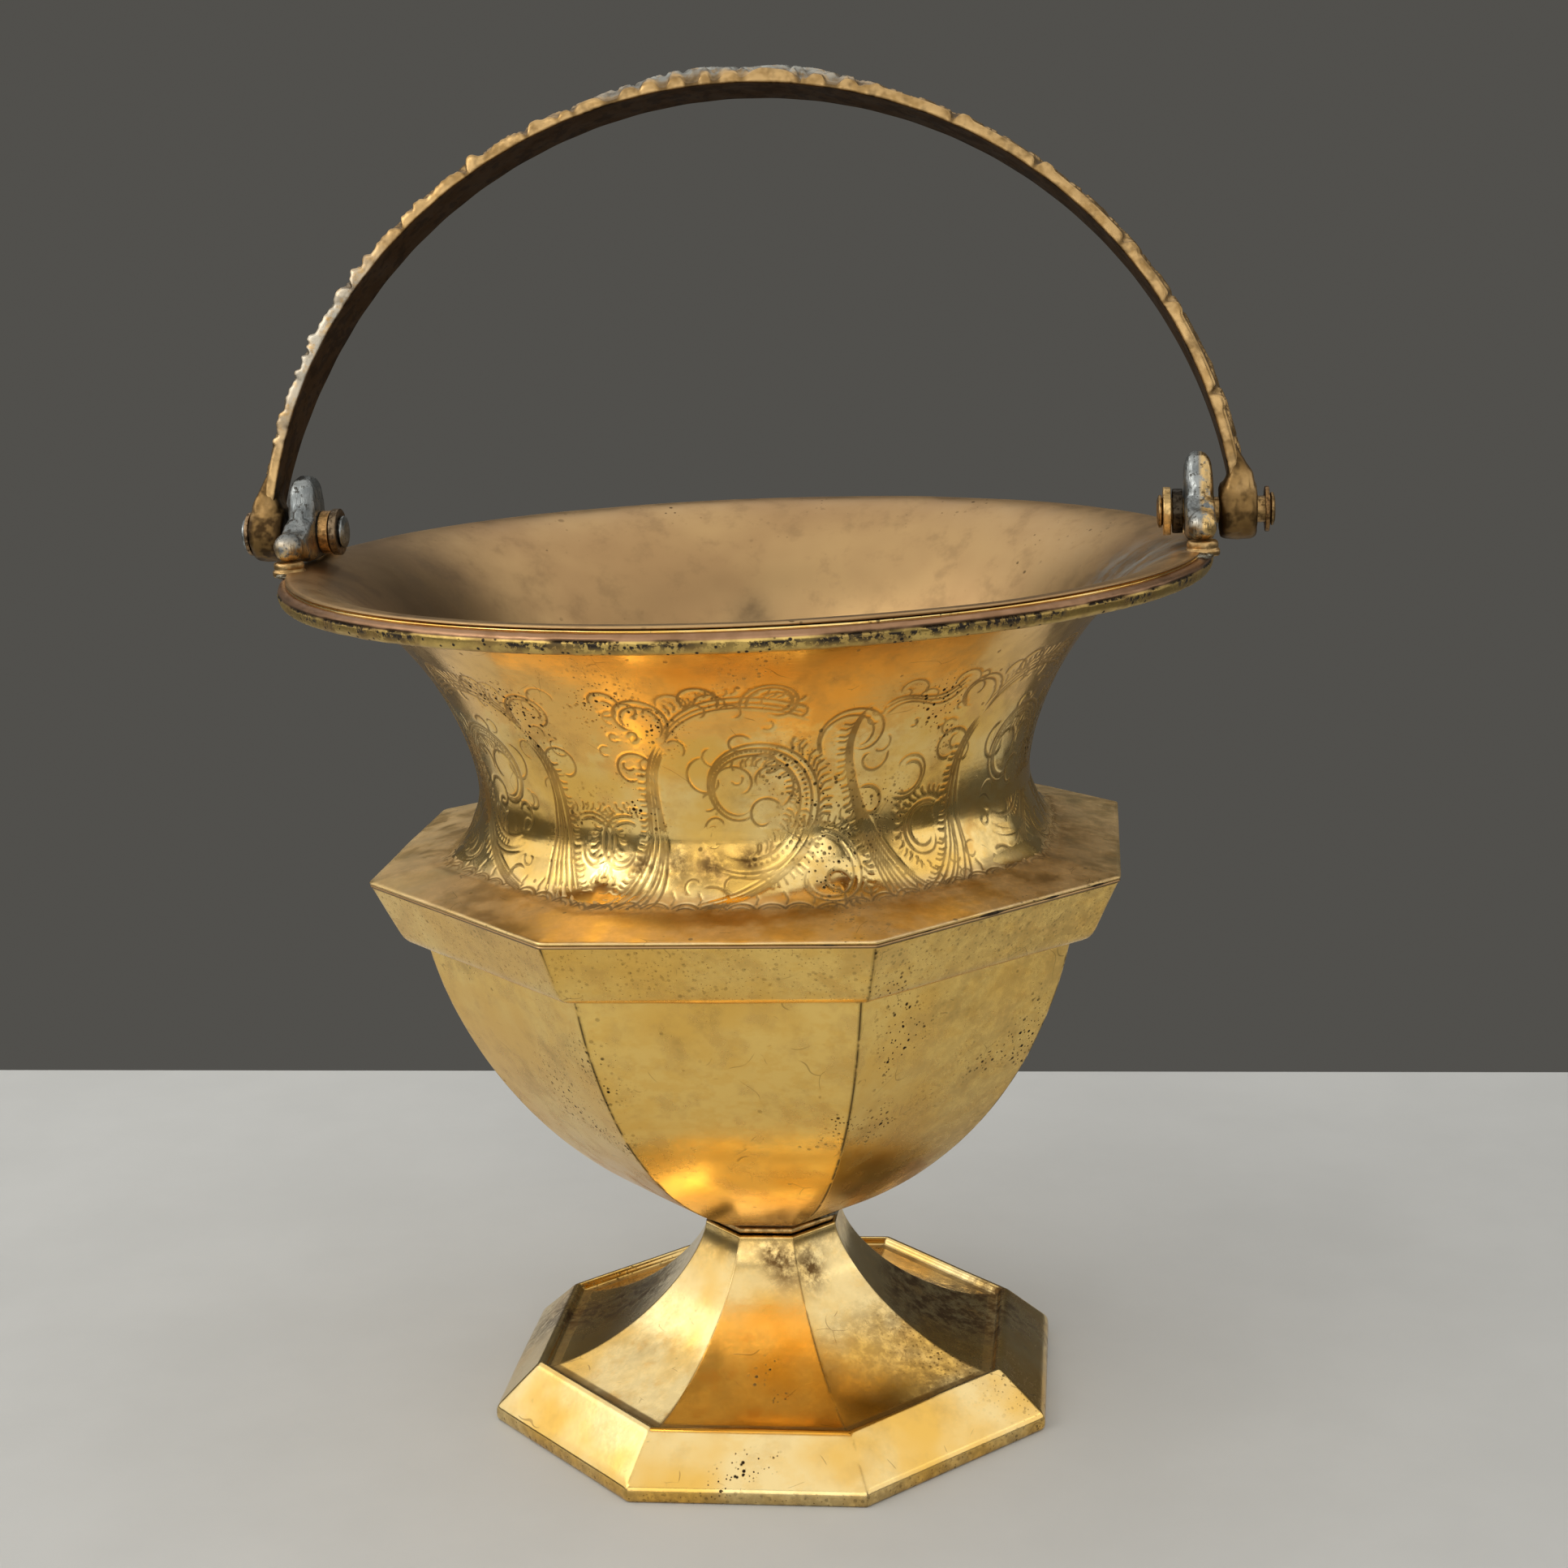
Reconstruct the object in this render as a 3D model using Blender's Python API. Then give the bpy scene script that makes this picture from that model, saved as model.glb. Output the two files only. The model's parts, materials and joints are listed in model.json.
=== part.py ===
"""An octagonal pedestal basket in gilt brass, with a round flared mouth and a swinging bail.

Frame: the origin is on the table under the foot's centre, +Z is up, X runs along the bail's
pivot axis and -Y is the front. The octagon has flat faces to the front and to the sides.
Sizes are in metres. An octagon's radius is always measured to its corners.
"""

from math import acos, atan2, cos, pi, radians, sin, sqrt

import bmesh
import bpy
from mathutils import Matrix, Vector

MM = 0.001

# General
SIDES = 8
CORNER = pi / SIDES
WALL = 1.2 * MM
GAP = 0.3 * MM

# Foot: a stamped shell with a turned-in hem, a sloped border and a fluted stem
FOOT_RADIUS = 67.0 * MM
FOOT_SKIRT = 3.6 * MM
FOOT_CREST_RADIUS = 56.2 * MM
FOOT_CREST_HEIGHT = 12.5 * MM
FOOT_WALL = 1.4 * MM
HEM_WIDTH = 5.5 * MM
WELL_RADIUS = 53.8 * MM
WELL_HEIGHT = 11.0 * MM
STEM_RADIUS = 16.0 * MM
STEM_TOP = 40.6 * MM
STEM_SWEEP = 1.52

# Collar and its solder, between the stem and the bowl
COLLAR_RADIUS = 15.6 * MM
COLLAR_HEIGHT = 1.5 * MM
SOLDER_HEIGHT = 0.5 * MM
COLLAR_BORE = 9.0 * MM

# Lower bowl: an octagonal pan that ends in an outward band
BOWL_FLOOR = 43.5 * MM
BOWL_FLOOR_RADIUS = 16.9 * MM
BOWL_RADIUS = 74.6 * MM
BOWL_TOP = 113.0 * MM
BOWL_BEND = radians(53)
BAND_FOOT_RADIUS = 80.3 * MM
BAND_FOOT_HEIGHT = 115.9 * MM
SHOULDER_RADIUS = 86.2 * MM
SHOULDER_HEIGHT = 128.5 * MM

# Upper body: an octagonal deck that turns into a round neck and a flared mouth
DECK_RADIUS = 73.0 * MM
DECK_HEIGHT = 131.0 * MM
WAIST_RADIUS = 60.6 * MM
WAIST_HEIGHT = 145.0 * MM
MOUTH_RADIUS = 96.4 * MM
MOUTH_HEIGHT = 190.9 * MM
MOUTH_SWEEP = 1.6
BODY_POINTS = 40
ROUND_POINTS = 28

# Rim bead
BEAD_RADIUS = 98.3 * MM
BEAD_HEIGHT = 190.5 * MM
BEAD_WIRE = 1.7 * MM

# Pivots: each ear stands across the X axis, and a rivet along X holds the bail's eye
PIVOT_HEIGHT = 199.5 * MM
EAR_X = 97.0 * MM
EAR_THICKNESS = 6.2 * MM
EAR_RISE = 12.6 * MM
EAR_TIP = 3.8 * MM
EAR_FOOT = 15.0 * MM
EAR_BALL = 3.2 * MM
EAR_BALL_DROP = 1.3 * MM
PAD_RADIUS = 3.6 * MM
RIVET_RADIUS = 2.8 * MM
EYE_RADIUS = 6.2 * MM
EYE_LENGTH = 7.8 * MM
EYE_ROUNDING = 1.1 * MM
EYE_X = 105.1 * MM
WASHER_RADIUS = 4.8 * MM
WASHER_THICKNESS = 0.9 * MM
HEAD_RADIUS = 3.5 * MM
HEAD_THICKNESS = 0.9 * MM
OUTER_PLAY = {"left": 0.3 * MM, "right": 1.7 * MM}
BUSH_RADIUS = 4.7 * MM
BUSH_THICKNESS = 2.2 * MM
ROVE_RADIUS = 5.1 * MM
ROVE_THICKNESS = 1.6 * MM

# Bail: an arched cast strap with an eye at each end, leaning back at rest
BAIL_LEAN = radians(12)
ARCH_HALF_SPAN = 104.8 * MM
ARCH_RISE = 103.4 * MM
ARCH_CENTRE = -10.8 * MM
STRAP_WIDTH = 14.0 * MM
STRAP_NECK = 8.6 * MM
STRAP_EDGE = 2.3 * MM
STRAP_CROWN = 3.6 * MM
CREST_CROWN = 5.6 * MM
CREST_TURN = radians(13)
NECK_TURN = radians(24)
ARCH_END = acos(-ARCH_CENTRE / ARCH_RISE)
ARCH_STATIONS = 44

SIDE_SIGN = {"left": -1, "right": 1}


def clear_scene():
    for thing in list(bpy.data.objects):
        bpy.data.objects.remove(thing)


def metal(name, colour, roughness, metallic=1.0):
    material = bpy.data.materials.new(name)
    material.use_nodes = True
    shader = material.node_tree.nodes["Principled BSDF"]
    shader.inputs["Base Color"].default_value = (*colour, 1)
    shader.inputs["Roughness"].default_value = roughness
    shader.inputs["Metallic"].default_value = metallic
    material.diffuse_color = (*colour, 1)
    return material


def make_materials():
    return {
        "gilt_brass": metal("gilt_brass", (0.80, 0.55, 0.20), 0.28),
        "rim_brass": metal("rim_brass", (0.55, 0.35, 0.18), 0.38),
        "cast_brass": metal("cast_brass", (0.50, 0.33, 0.13), 0.42),
        "worn_plate": metal("worn_plate", (0.55, 0.56, 0.54), 0.40),
        "dark_brass": metal("dark_brass", (0.30, 0.19, 0.08), 0.50),
        "solder": metal("solder", (0.40, 0.40, 0.37), 0.60),
    }


# Mesh helpers


def new_object(name, mesh_data, material, parent=None):
    """Makes an object from a bmesh, with smooth round faces and sharp corners."""
    bmesh.ops.recalc_face_normals(mesh_data, faces=mesh_data.faces)
    mesh = bpy.data.meshes.new(name)
    mesh_data.to_mesh(mesh)
    mesh_data.free()
    mesh.materials.append(material)
    mesh.shade_smooth()
    mesh.set_sharp_from_angle(angle=radians(20))
    thing = bpy.data.objects.new(name, mesh)
    bpy.context.scene.collection.objects.link(thing)
    if parent is not None:
        thing.parent = parent
    return thing


def octagon_ring(radius, height, roundness=0.0, count=SIDES):
    """One level of a body: roundness 0 is an octagon, and 1 is a circle."""
    points = []
    for i in range(count):
        angle = CORNER + 2 * pi * i / count
        off_face = (angle + CORNER) % (2 * CORNER) - CORNER
        flat = cos(CORNER) / cos(off_face)
        reach = radius * ((1 - roundness) * flat + roundness)
        points.append(Vector((reach * cos(angle), reach * sin(angle), height)))
    return points


def loft(mesh_data, rings, closed=False):
    """Joins rings of equal length. A closed loft meets its first ring again, others get caps."""
    loops = [[mesh_data.verts.new(point) for point in ring] for ring in rings]
    pairs = list(zip(loops, loops[1:]))
    if closed:
        pairs.append((loops[-1], loops[0]))
    for lower, upper in pairs:
        for i in range(len(lower)):
            j = (i + 1) % len(lower)
            mesh_data.faces.new((lower[i], lower[j], upper[j], upper[i]))
    if not closed:
        mesh_data.faces.new(list(reversed(loops[0])))
        mesh_data.faces.new(loops[-1])


def octagon_body(name, levels, material, closed=True, count=SIDES):
    """A body from (radius, height) or (radius, height, roundness) levels around Z."""
    body = bmesh.new()
    loft(body, [octagon_ring(*level, count=count) for level in levels], closed)
    return new_object(name, body, material)


def circle(centre, radius, axis, count=ROUND_POINTS):
    """Points around a line along X or Z."""
    points = []
    for i in range(count):
        across = radius * cos(2 * pi * i / count)
        upright = radius * sin(2 * pi * i / count)
        offset = (0, across, upright) if axis == "X" else (across, upright, 0)
        points.append(centre + Vector(offset))
    return points


def turned(name, profile, material, centre, axis="X", closed=False, parent=None):
    """Turns a (radius, distance) profile about a line along X or Z through the centre."""
    body = bmesh.new()
    rings = []
    for radius, distance in profile:
        along = Vector((distance, 0, 0)) if axis == "X" else Vector((0, 0, distance))
        rings.append(circle(centre + along, radius, axis))
    loft(body, rings, closed)
    return new_object(name, body, material, parent)


def combine(thing, other, operation):
    """Joins another solid to this one, or cuts it away, and keeps the other as a guide."""
    step = thing.modifiers.new(other.name, "BOOLEAN")
    step.operation = operation
    step.object = other
    step.solver = "EXACT"
    other.hide_render = True
    other.display_type = "WIRE"


def sweep_curve(outer, inner, low, high, exponent, steps):
    """A concave flare between a wide level and a narrow one: a quarter of a superellipse.

    Each end is a (radius, height) pair, and the points run from the narrow end to the wide end.
    """
    points = []
    for i in range(steps + 1):
        turn = pi / 2 * i / steps
        across = (outer - inner) * cos(turn) ** (2 / exponent)
        along = (high - low) * sin(turn) ** (2 / exponent)
        points.append((outer - across, low + along))
    return points


def inner_offset(outline, wall):
    """Moves an outline inwards by the wall, square to its slope at each point."""
    moved = []
    for i, (radius, height, roundness) in enumerate(outline):
        before = outline[max(i - 1, 0)]
        after = outline[min(i + 1, len(outline) - 1)]
        along = Vector((after[0] - before[0], after[1] - before[1])).normalized()
        moved.append((radius - wall * along.y, height + wall * along.x, roundness))
    return moved


# Bodies


def foot_levels():
    """The foot's outline from its stem down the outside, and back up the inside."""
    flare = sweep_curve(WELL_RADIUS, STEM_RADIUS, STEM_TOP, WELL_HEIGHT, STEM_SWEEP, 10)
    border = [
        (WELL_RADIUS + 0.7 * MM, WELL_HEIGHT + 0.2 * MM),
        (FOOT_CREST_RADIUS - 1.4 * MM, FOOT_CREST_HEIGHT - 0.3 * MM),
        (FOOT_CREST_RADIUS - 0.4 * MM, FOOT_CREST_HEIGHT),
        (FOOT_CREST_RADIUS + 0.6 * MM, FOOT_CREST_HEIGHT - 0.4 * MM),
        (FOOT_RADIUS - 1.0 * MM, FOOT_SKIRT + 0.5 * MM),
        (FOOT_RADIUS - 0.3 * MM, FOOT_SKIRT - 0.2 * MM),
        (FOOT_RADIUS, 0.0),
    ]
    hem = [
        (FOOT_RADIUS - HEM_WIDTH, 0.0),
        (FOOT_RADIUS - HEM_WIDTH, FOOT_WALL),
        (FOOT_RADIUS - FOOT_WALL - 0.4 * MM, FOOT_WALL),
        (FOOT_RADIUS - FOOT_WALL - 0.7 * MM, FOOT_SKIRT - 0.9 * MM),
        (FOOT_CREST_RADIUS - 0.6 * MM, FOOT_CREST_HEIGHT - 1.7 * MM),
    ]
    inside = sweep_curve(
        WELL_RADIUS - 0.5 * MM,
        STEM_RADIUS - FOOT_WALL,
        STEM_TOP,
        WELL_HEIGHT - FOOT_WALL,
        STEM_SWEEP,
        8,
    )
    return flare + border + hem + inside[::-1]


def make_foot(materials):
    octagon_body("foot_shell", foot_levels(), materials["gilt_brass"])


def make_collar(materials):
    """The ring between stem and bowl, and the solder that fills the joint above it."""
    low = STEM_TOP + GAP
    high = low + COLLAR_HEIGHT
    ring = [
        (COLLAR_RADIUS - 0.4 * MM, low),
        (COLLAR_RADIUS, low + COLLAR_HEIGHT / 2),
        (COLLAR_RADIUS - 0.2 * MM, high),
        (COLLAR_BORE, high),
        (COLLAR_BORE, low),
    ]
    octagon_body("stem_collar", ring, materials["dark_brass"])
    base = high + GAP
    fillet = [
        (COLLAR_RADIUS, base),
        (COLLAR_RADIUS + 0.6 * MM, base + SOLDER_HEIGHT),
        (COLLAR_BORE, base + SOLDER_HEIGHT),
        (COLLAR_BORE, base),
    ]
    octagon_body("collar_solder", fillet, materials["solder"])


def bowl_arc(steps):
    """The pan's outline from its floor to its top: one arc through both, bent by BOWL_BEND."""
    chord = Vector((BOWL_RADIUS - BOWL_FLOOR_RADIUS, BOWL_TOP - BOWL_FLOOR))
    bend_radius = chord.length / (2 * sin(BOWL_BEND / 2))
    start = atan2(chord.y, chord.x) - BOWL_BEND / 2
    points = []
    for i in range(steps + 1):
        slope = start + BOWL_BEND * i / steps
        radius = BOWL_FLOOR_RADIUS + bend_radius * (sin(slope) - sin(start))
        height = BOWL_FLOOR + bend_radius * (cos(start) - cos(slope))
        points.append((radius, height))
    return points


def bowl_levels():
    """The pan from its floor up the outside, over the band's edge and down the inside."""
    outside = bowl_arc(12)
    band = [
        (BOWL_RADIUS + 0.3 * MM, BOWL_TOP + 0.7 * MM),
        (BAND_FOOT_RADIUS - 2.2 * MM, BAND_FOOT_HEIGHT - 1.9 * MM),
        (BAND_FOOT_RADIUS - 0.6 * MM, BAND_FOOT_HEIGHT - 1.0 * MM),
        (BAND_FOOT_RADIUS, BAND_FOOT_HEIGHT),
    ]
    edge_height = SHOULDER_HEIGHT - 0.9 * MM
    edge_radius = SHOULDER_RADIUS - 0.3 * MM
    edge = [(edge_radius, edge_height), (edge_radius - WALL, edge_height)]
    step_down = [
        (BAND_FOOT_RADIUS - WALL, BAND_FOOT_HEIGHT + 0.6 * MM),
        (BOWL_RADIUS - 0.9 * MM, BOWL_TOP + 1.7 * MM),
    ]
    inside = inner_offset([(*level, 0.0) for level in outside], WALL)
    inside = [(radius, height) for radius, height, _ in reversed(inside)]
    return outside + band + edge + step_down + inside


def make_lower_bowl(materials):
    octagon_body("lower_bowl", bowl_levels(), materials["gilt_brass"], closed=False)


def make_shoulder_solder(materials):
    """A fillet of solder inside the corner where the deck meets the band."""
    top = SHOULDER_HEIGHT - 1.1 * MM
    fillet = [
        (SHOULDER_RADIUS - 2.1 * MM, top),
        (SHOULDER_RADIUS - 5.2 * MM, top + 0.3 * MM),
        (SHOULDER_RADIUS - 5.2 * MM, top),
        (SHOULDER_RADIUS - 3.4 * MM, top - 2.2 * MM),
    ]
    octagon_body("shoulder_solder", fillet, materials["solder"])


def body_outline():
    """Deck, neck and mouth as (radius, height, roundness), from the shoulder upwards."""
    deck = [
        (SHOULDER_RADIUS, SHOULDER_HEIGHT, 0.0),
        (DECK_RADIUS, DECK_HEIGHT, 0.0),
    ]
    root = []
    steps = 7
    root_width = DECK_RADIUS - WAIST_RADIUS
    root_height = WAIST_HEIGHT - DECK_HEIGHT
    for i in range(1, steps):
        turn = pi / 2 * i / steps
        radius = DECK_RADIUS - root_width * sin(turn)
        height = WAIST_HEIGHT - root_height * cos(turn)
        root.append((radius, height, min(1.0, sin(turn) * 1.15)))
    flare = sweep_curve(MOUTH_RADIUS, WAIST_RADIUS, WAIST_HEIGHT, MOUTH_HEIGHT, MOUTH_SWEEP, 12)
    return deck + root + [(radius, height, 1.0) for radius, height in flare]


def make_upper_body(materials):
    outline = body_outline()
    inside = inner_offset(outline, WALL)
    inside[0] = (SHOULDER_RADIUS - 0.2 * MM, SHOULDER_HEIGHT - 0.6 * MM, 0.0)
    levels = outline + inside[::-1]
    octagon_body("upper_body", levels, materials["gilt_brass"], count=BODY_POINTS)


def make_rim_bead(materials):
    """A round wire closes the mouth's edge."""
    levels = []
    for i in range(10):
        angle = 2 * pi * i / 10
        radius = BEAD_RADIUS + BEAD_WIRE * cos(angle)
        levels.append((radius, BEAD_HEIGHT + BEAD_WIRE * sin(angle), 1.0))
    octagon_body("rim_bead", levels, materials["rim_brass"], count=64)


# Pivots


def ear_outline():
    """Half of the ear in Y and Z from the pivot: a leaf shape over an arched lower edge."""
    tip = []
    for turn in (0, pi / 4, pi / 2):
        tip.append((EAR_TIP * sin(turn), EAR_RISE - EAR_TIP / 2 * (1 - cos(turn))))
    side = [
        (5.3 * MM, 7.0 * MM),
        (7.4 * MM, 3.6 * MM),
        (10.2 * MM, 1.6 * MM),
        (EAR_FOOT, -EAR_BALL_DROP + 1.2 * MM),
        (EAR_FOOT, -EAR_BALL_DROP - 1.4 * MM),
        (11.2 * MM, -4.0 * MM),
        (6.2 * MM, -5.6 * MM),
    ]
    return tip + side


def make_ear(side, materials):
    sign = SIDE_SIGN[side]
    half = ear_outline()
    outline = half + [(-y, z) for y, z in reversed(half[1:])]
    centre = Vector((sign * EAR_X, 0, PIVOT_HEIGHT))
    body = bmesh.new()
    rings = []
    for x in (-EAR_THICKNESS / 2, EAR_THICKNESS / 2):
        rings.append([centre + Vector((x, y, z)) for y, z in outline])
    loft(body, rings)
    ear = new_object(side + "_ear", body, materials["worn_plate"])
    rounding = ear.modifiers.new("rounded_edges", "BEVEL")
    rounding.width = 1.3 * MM
    rounding.segments = 2
    rounding.limit_method = "ANGLE"
    rounding.angle_limit = radians(50)
    for end, place in (("front", -1), ("rear", 1)):
        ball = bmesh.new()
        spot = centre + Vector((0, place * EAR_FOOT, -EAR_BALL_DROP))
        bmesh.ops.create_uvsphere(
            ball, u_segments=16, v_segments=10, radius=EAR_BALL, matrix=Matrix.Translation(spot)
        )
        combine(ear, new_object(side + "_" + end + "_ball", ball, None), "UNION")
    hole = ((RIVET_RADIUS + GAP, -EAR_THICKNESS), (RIVET_RADIUS + GAP, EAR_THICKNESS))
    combine(ear, turned(side + "_ear_bore", hole, None, centre), "DIFFERENCE")


def make_pads(side, materials):
    """Two-roll mouldings that carry the ear's front and rear balls on the rim."""
    low = BEAD_HEIGHT + BEAD_WIRE + GAP
    high = PIVOT_HEIGHT - EAR_BALL_DROP - EAR_BALL - GAP
    roll = (high - low) / 2
    shape = ((0, 0.4), (0.25, 0.1), (0.5, 0), (0.75, 0.1), (0.98, 0.4))
    profile = []
    for base, radius in ((low, PAD_RADIUS), (low + roll, PAD_RADIUS - 0.3 * MM)):
        profile += [(radius - inset * MM, base + level * roll) for level, inset in shape]
    for end, place in (("front", -1), ("rear", 1)):
        along = place * EAR_FOOT
        across = SIDE_SIGN[side] * sqrt(BEAD_RADIUS**2 - along**2)
        centre = Vector((across, along, 0))
        turned(side + "_" + end + "_pad", profile, materials["cast_brass"], centre, axis="Z")


def make_pivot(side, materials):
    """Rivet, outer washer, bush and rove, from the outside to the inside."""
    sign = SIDE_SIGN[side]
    centre = Vector((0, 0, PIVOT_HEIGHT))
    hole = RIVET_RADIUS + GAP

    washer_in = EYE_X + EYE_LENGTH / 2 + OUTER_PLAY[side]
    washer_out = washer_in + WASHER_THICKNESS
    bush_out = EAR_X - EAR_THICKNESS / 2 - GAP
    bush_in = bush_out - BUSH_THICKNESS
    rove_out = bush_in - GAP
    rove_in = rove_out - ROVE_THICKNESS
    rings = (
        ("_outer_washer", WASHER_RADIUS, washer_in, washer_out, "dark_brass"),
        ("_bush", BUSH_RADIUS, bush_in, bush_out, "cast_brass"),
        ("_rove", ROVE_RADIUS, rove_in, rove_out, "dark_brass"),
    )
    for name, radius, start, end, slot in rings:
        section = ((radius, start), (radius, end), (hole, end), (hole, start))
        section = [(reach, sign * x) for reach, x in section]
        turned(side + name, section, materials[slot], centre, closed=True)

    head = washer_out + GAP
    tail = rove_in - GAP
    profile = [
        (RIVET_RADIUS - 0.6 * MM, tail - 1.0 * MM),
        (HEAD_RADIUS, tail - 0.6 * MM),
        (HEAD_RADIUS, tail),
        (RIVET_RADIUS, tail),
        (RIVET_RADIUS, head),
        (HEAD_RADIUS, head),
        (HEAD_RADIUS, head + HEAD_THICKNESS * 0.6),
        (HEAD_RADIUS - 0.9 * MM, head + HEAD_THICKNESS),
    ]
    profile = [(radius, sign * x) for radius, x in profile]
    turned(side + "_rivet", profile, materials["worn_plate"], centre)


# Bail


def smooth_step(value):
    value = min(1.0, max(0.0, value))
    return value * value * (3 - 2 * value)


def strap_section(turn):
    """One section across the strap: flat inside, crowned outside, thicker at the crest."""
    taper = smooth_step((ARCH_END - abs(turn)) / NECK_TURN)
    half = (STRAP_NECK + (STRAP_WIDTH - STRAP_NECK) * taper) / 2
    rise = smooth_step((CREST_TURN * 1.5 - abs(turn)) / CREST_TURN)
    crown = STRAP_CROWN + (CREST_CROWN - STRAP_CROWN) * rise
    haunch = (STRAP_EDGE + 2 * crown) / 3
    front = [(-half, 0), (-half, STRAP_EDGE), (-0.55 * half, haunch), (0, crown)]
    return front + [(-across, lift) for across, lift in reversed(front[:-1])]


def strap_point(turn, across, lift):
    """A point on the strap: turn runs along the arch from its crest, lift is outwards."""
    x = ARCH_HALF_SPAN * sin(turn)
    z = ARCH_CENTRE + ARCH_RISE * cos(turn)
    outwards = Vector((ARCH_RISE * sin(turn), 0, ARCH_HALF_SPAN * cos(turn))).normalized()
    return Vector((x, across, z)) + lift * outwards


def make_bail(materials):
    hinge = bpy.data.objects.new("bail_hinge", None)
    hinge.location = (0, 0, PIVOT_HEIGHT)
    hinge.rotation_euler = (-BAIL_LEAN, 0, 0)
    bpy.context.scene.collection.objects.link(hinge)

    body = bmesh.new()
    rings = []
    for i in range(ARCH_STATIONS + 1):
        turn = ARCH_END * (2 * i / ARCH_STATIONS - 1)
        rings.append([strap_point(turn, *spot) for spot in strap_section(turn)])
    loft(body, rings)
    bail = new_object("bail_handle", body, materials["cast_brass"], hinge)

    for side, sign in SIDE_SIGN.items():
        inner = sign * (EYE_X - EYE_LENGTH / 2)
        outer = sign * (EYE_X + EYE_LENGTH / 2)
        shift = sign * EYE_ROUNDING
        barrel = (
            (EYE_RADIUS - EYE_ROUNDING, inner),
            (EYE_RADIUS, inner + shift),
            (EYE_RADIUS, outer - shift),
            (EYE_RADIUS - EYE_ROUNDING, outer),
        )
        hole = ((RIVET_RADIUS + GAP, inner - shift), (RIVET_RADIUS + GAP, outer + shift))
        eye = turned(side + "_eye", barrel, None, Vector(), parent=hinge)
        bore = turned(side + "_eye_bore", hole, None, Vector(), parent=hinge)
        combine(bail, eye, "UNION")
        combine(bail, bore, "DIFFERENCE")


def build():
    clear_scene()
    materials = make_materials()
    make_foot(materials)
    make_collar(materials)
    make_lower_bowl(materials)
    make_shoulder_solder(materials)
    make_upper_body(materials)
    make_rim_bead(materials)
    for side in SIDE_SIGN:
        make_ear(side, materials)
        make_pads(side, materials)
        make_pivot(side, materials)
    make_bail(materials)


build()
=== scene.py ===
"""Looks of the octagonal pedestal basket: worn gilt brass, an engraved neck and a cast bail.

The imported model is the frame, and its bodies carry everything here. Lengths are in metres.
An octagon's radius is measured to its corners. Each detailed piece keeps its CAD node's size.
"""

import json
from math import acos, atan2, cos, pi, radians, sin, tan

import bmesh
import bpy
import numpy as np
from mathutils import Matrix, Vector


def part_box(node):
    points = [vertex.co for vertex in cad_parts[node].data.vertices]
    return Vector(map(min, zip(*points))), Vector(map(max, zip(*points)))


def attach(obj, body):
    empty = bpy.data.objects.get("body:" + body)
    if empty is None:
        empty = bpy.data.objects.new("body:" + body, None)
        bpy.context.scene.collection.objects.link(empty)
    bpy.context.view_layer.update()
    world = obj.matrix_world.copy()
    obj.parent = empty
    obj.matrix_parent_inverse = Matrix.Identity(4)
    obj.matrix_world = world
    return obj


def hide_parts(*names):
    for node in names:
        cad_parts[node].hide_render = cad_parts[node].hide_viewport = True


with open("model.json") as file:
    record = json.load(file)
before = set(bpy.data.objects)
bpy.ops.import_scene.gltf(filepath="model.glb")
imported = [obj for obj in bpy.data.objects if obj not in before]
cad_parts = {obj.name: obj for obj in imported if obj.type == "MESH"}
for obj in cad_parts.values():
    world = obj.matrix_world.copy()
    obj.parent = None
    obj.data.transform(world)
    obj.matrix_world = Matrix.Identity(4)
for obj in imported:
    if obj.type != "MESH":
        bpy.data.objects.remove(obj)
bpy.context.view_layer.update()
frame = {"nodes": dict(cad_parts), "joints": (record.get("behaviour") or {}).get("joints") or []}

MM = 0.001
SIDES = 8
CORNER = pi / SIDES

# Sizes read from the frame
FOOT_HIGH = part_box("foot_shell")[1]
BOWL_LOW, BOWL_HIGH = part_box("lower_bowl")
BODY_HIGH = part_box("upper_body")[1]
BEAD_LOW, BEAD_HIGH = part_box("rim_bead")
PIVOT = Vector(frame["joints"][0]["pos_m"])

FOOT_RADIUS = FOOT_HIGH.x / cos(CORNER)
STEM_TOP = FOOT_HIGH.z
BOWL_FLOOR = BOWL_LOW.z
BAND_RADIUS = BOWL_HIGH.x / cos(CORNER)
BAND_TOP = BOWL_HIGH.z
MOUTH_RADIUS = BODY_HIGH.x
MOUTH_HEIGHT = BODY_HIGH.z
BEAD_WIRE = (BEAD_HIGH.z - BEAD_LOW.z) / 2
BEAD_RADIUS = BEAD_HIGH.x - BEAD_WIRE
BEAD_HEIGHT = (BEAD_HIGH.z + BEAD_LOW.z) / 2

# The foot's outline
WALL = 1.2 * MM
FOOT_WALL = 1.4 * MM
FOOT_SKIRT = 3.6 * MM
CREST_RADIUS = 56.2 * MM
CREST_HEIGHT = 12.5 * MM
WELL_RADIUS = 53.8 * MM
WELL_HEIGHT = 11.0 * MM
STEM_RADIUS = 16.0 * MM
STEM_SWEEP = 1.52
HEM_WIDTH = 5.5 * MM

# The bowl's outline
BOWL_FLOOR_RADIUS = 16.9 * MM
PAN_RADIUS = 74.6 * MM
PAN_TOP = 113.0 * MM
PAN_BEND = radians(53)
BAND_FOOT_RADIUS = 80.3 * MM
BAND_FOOT_HEIGHT = 115.9 * MM

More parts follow.
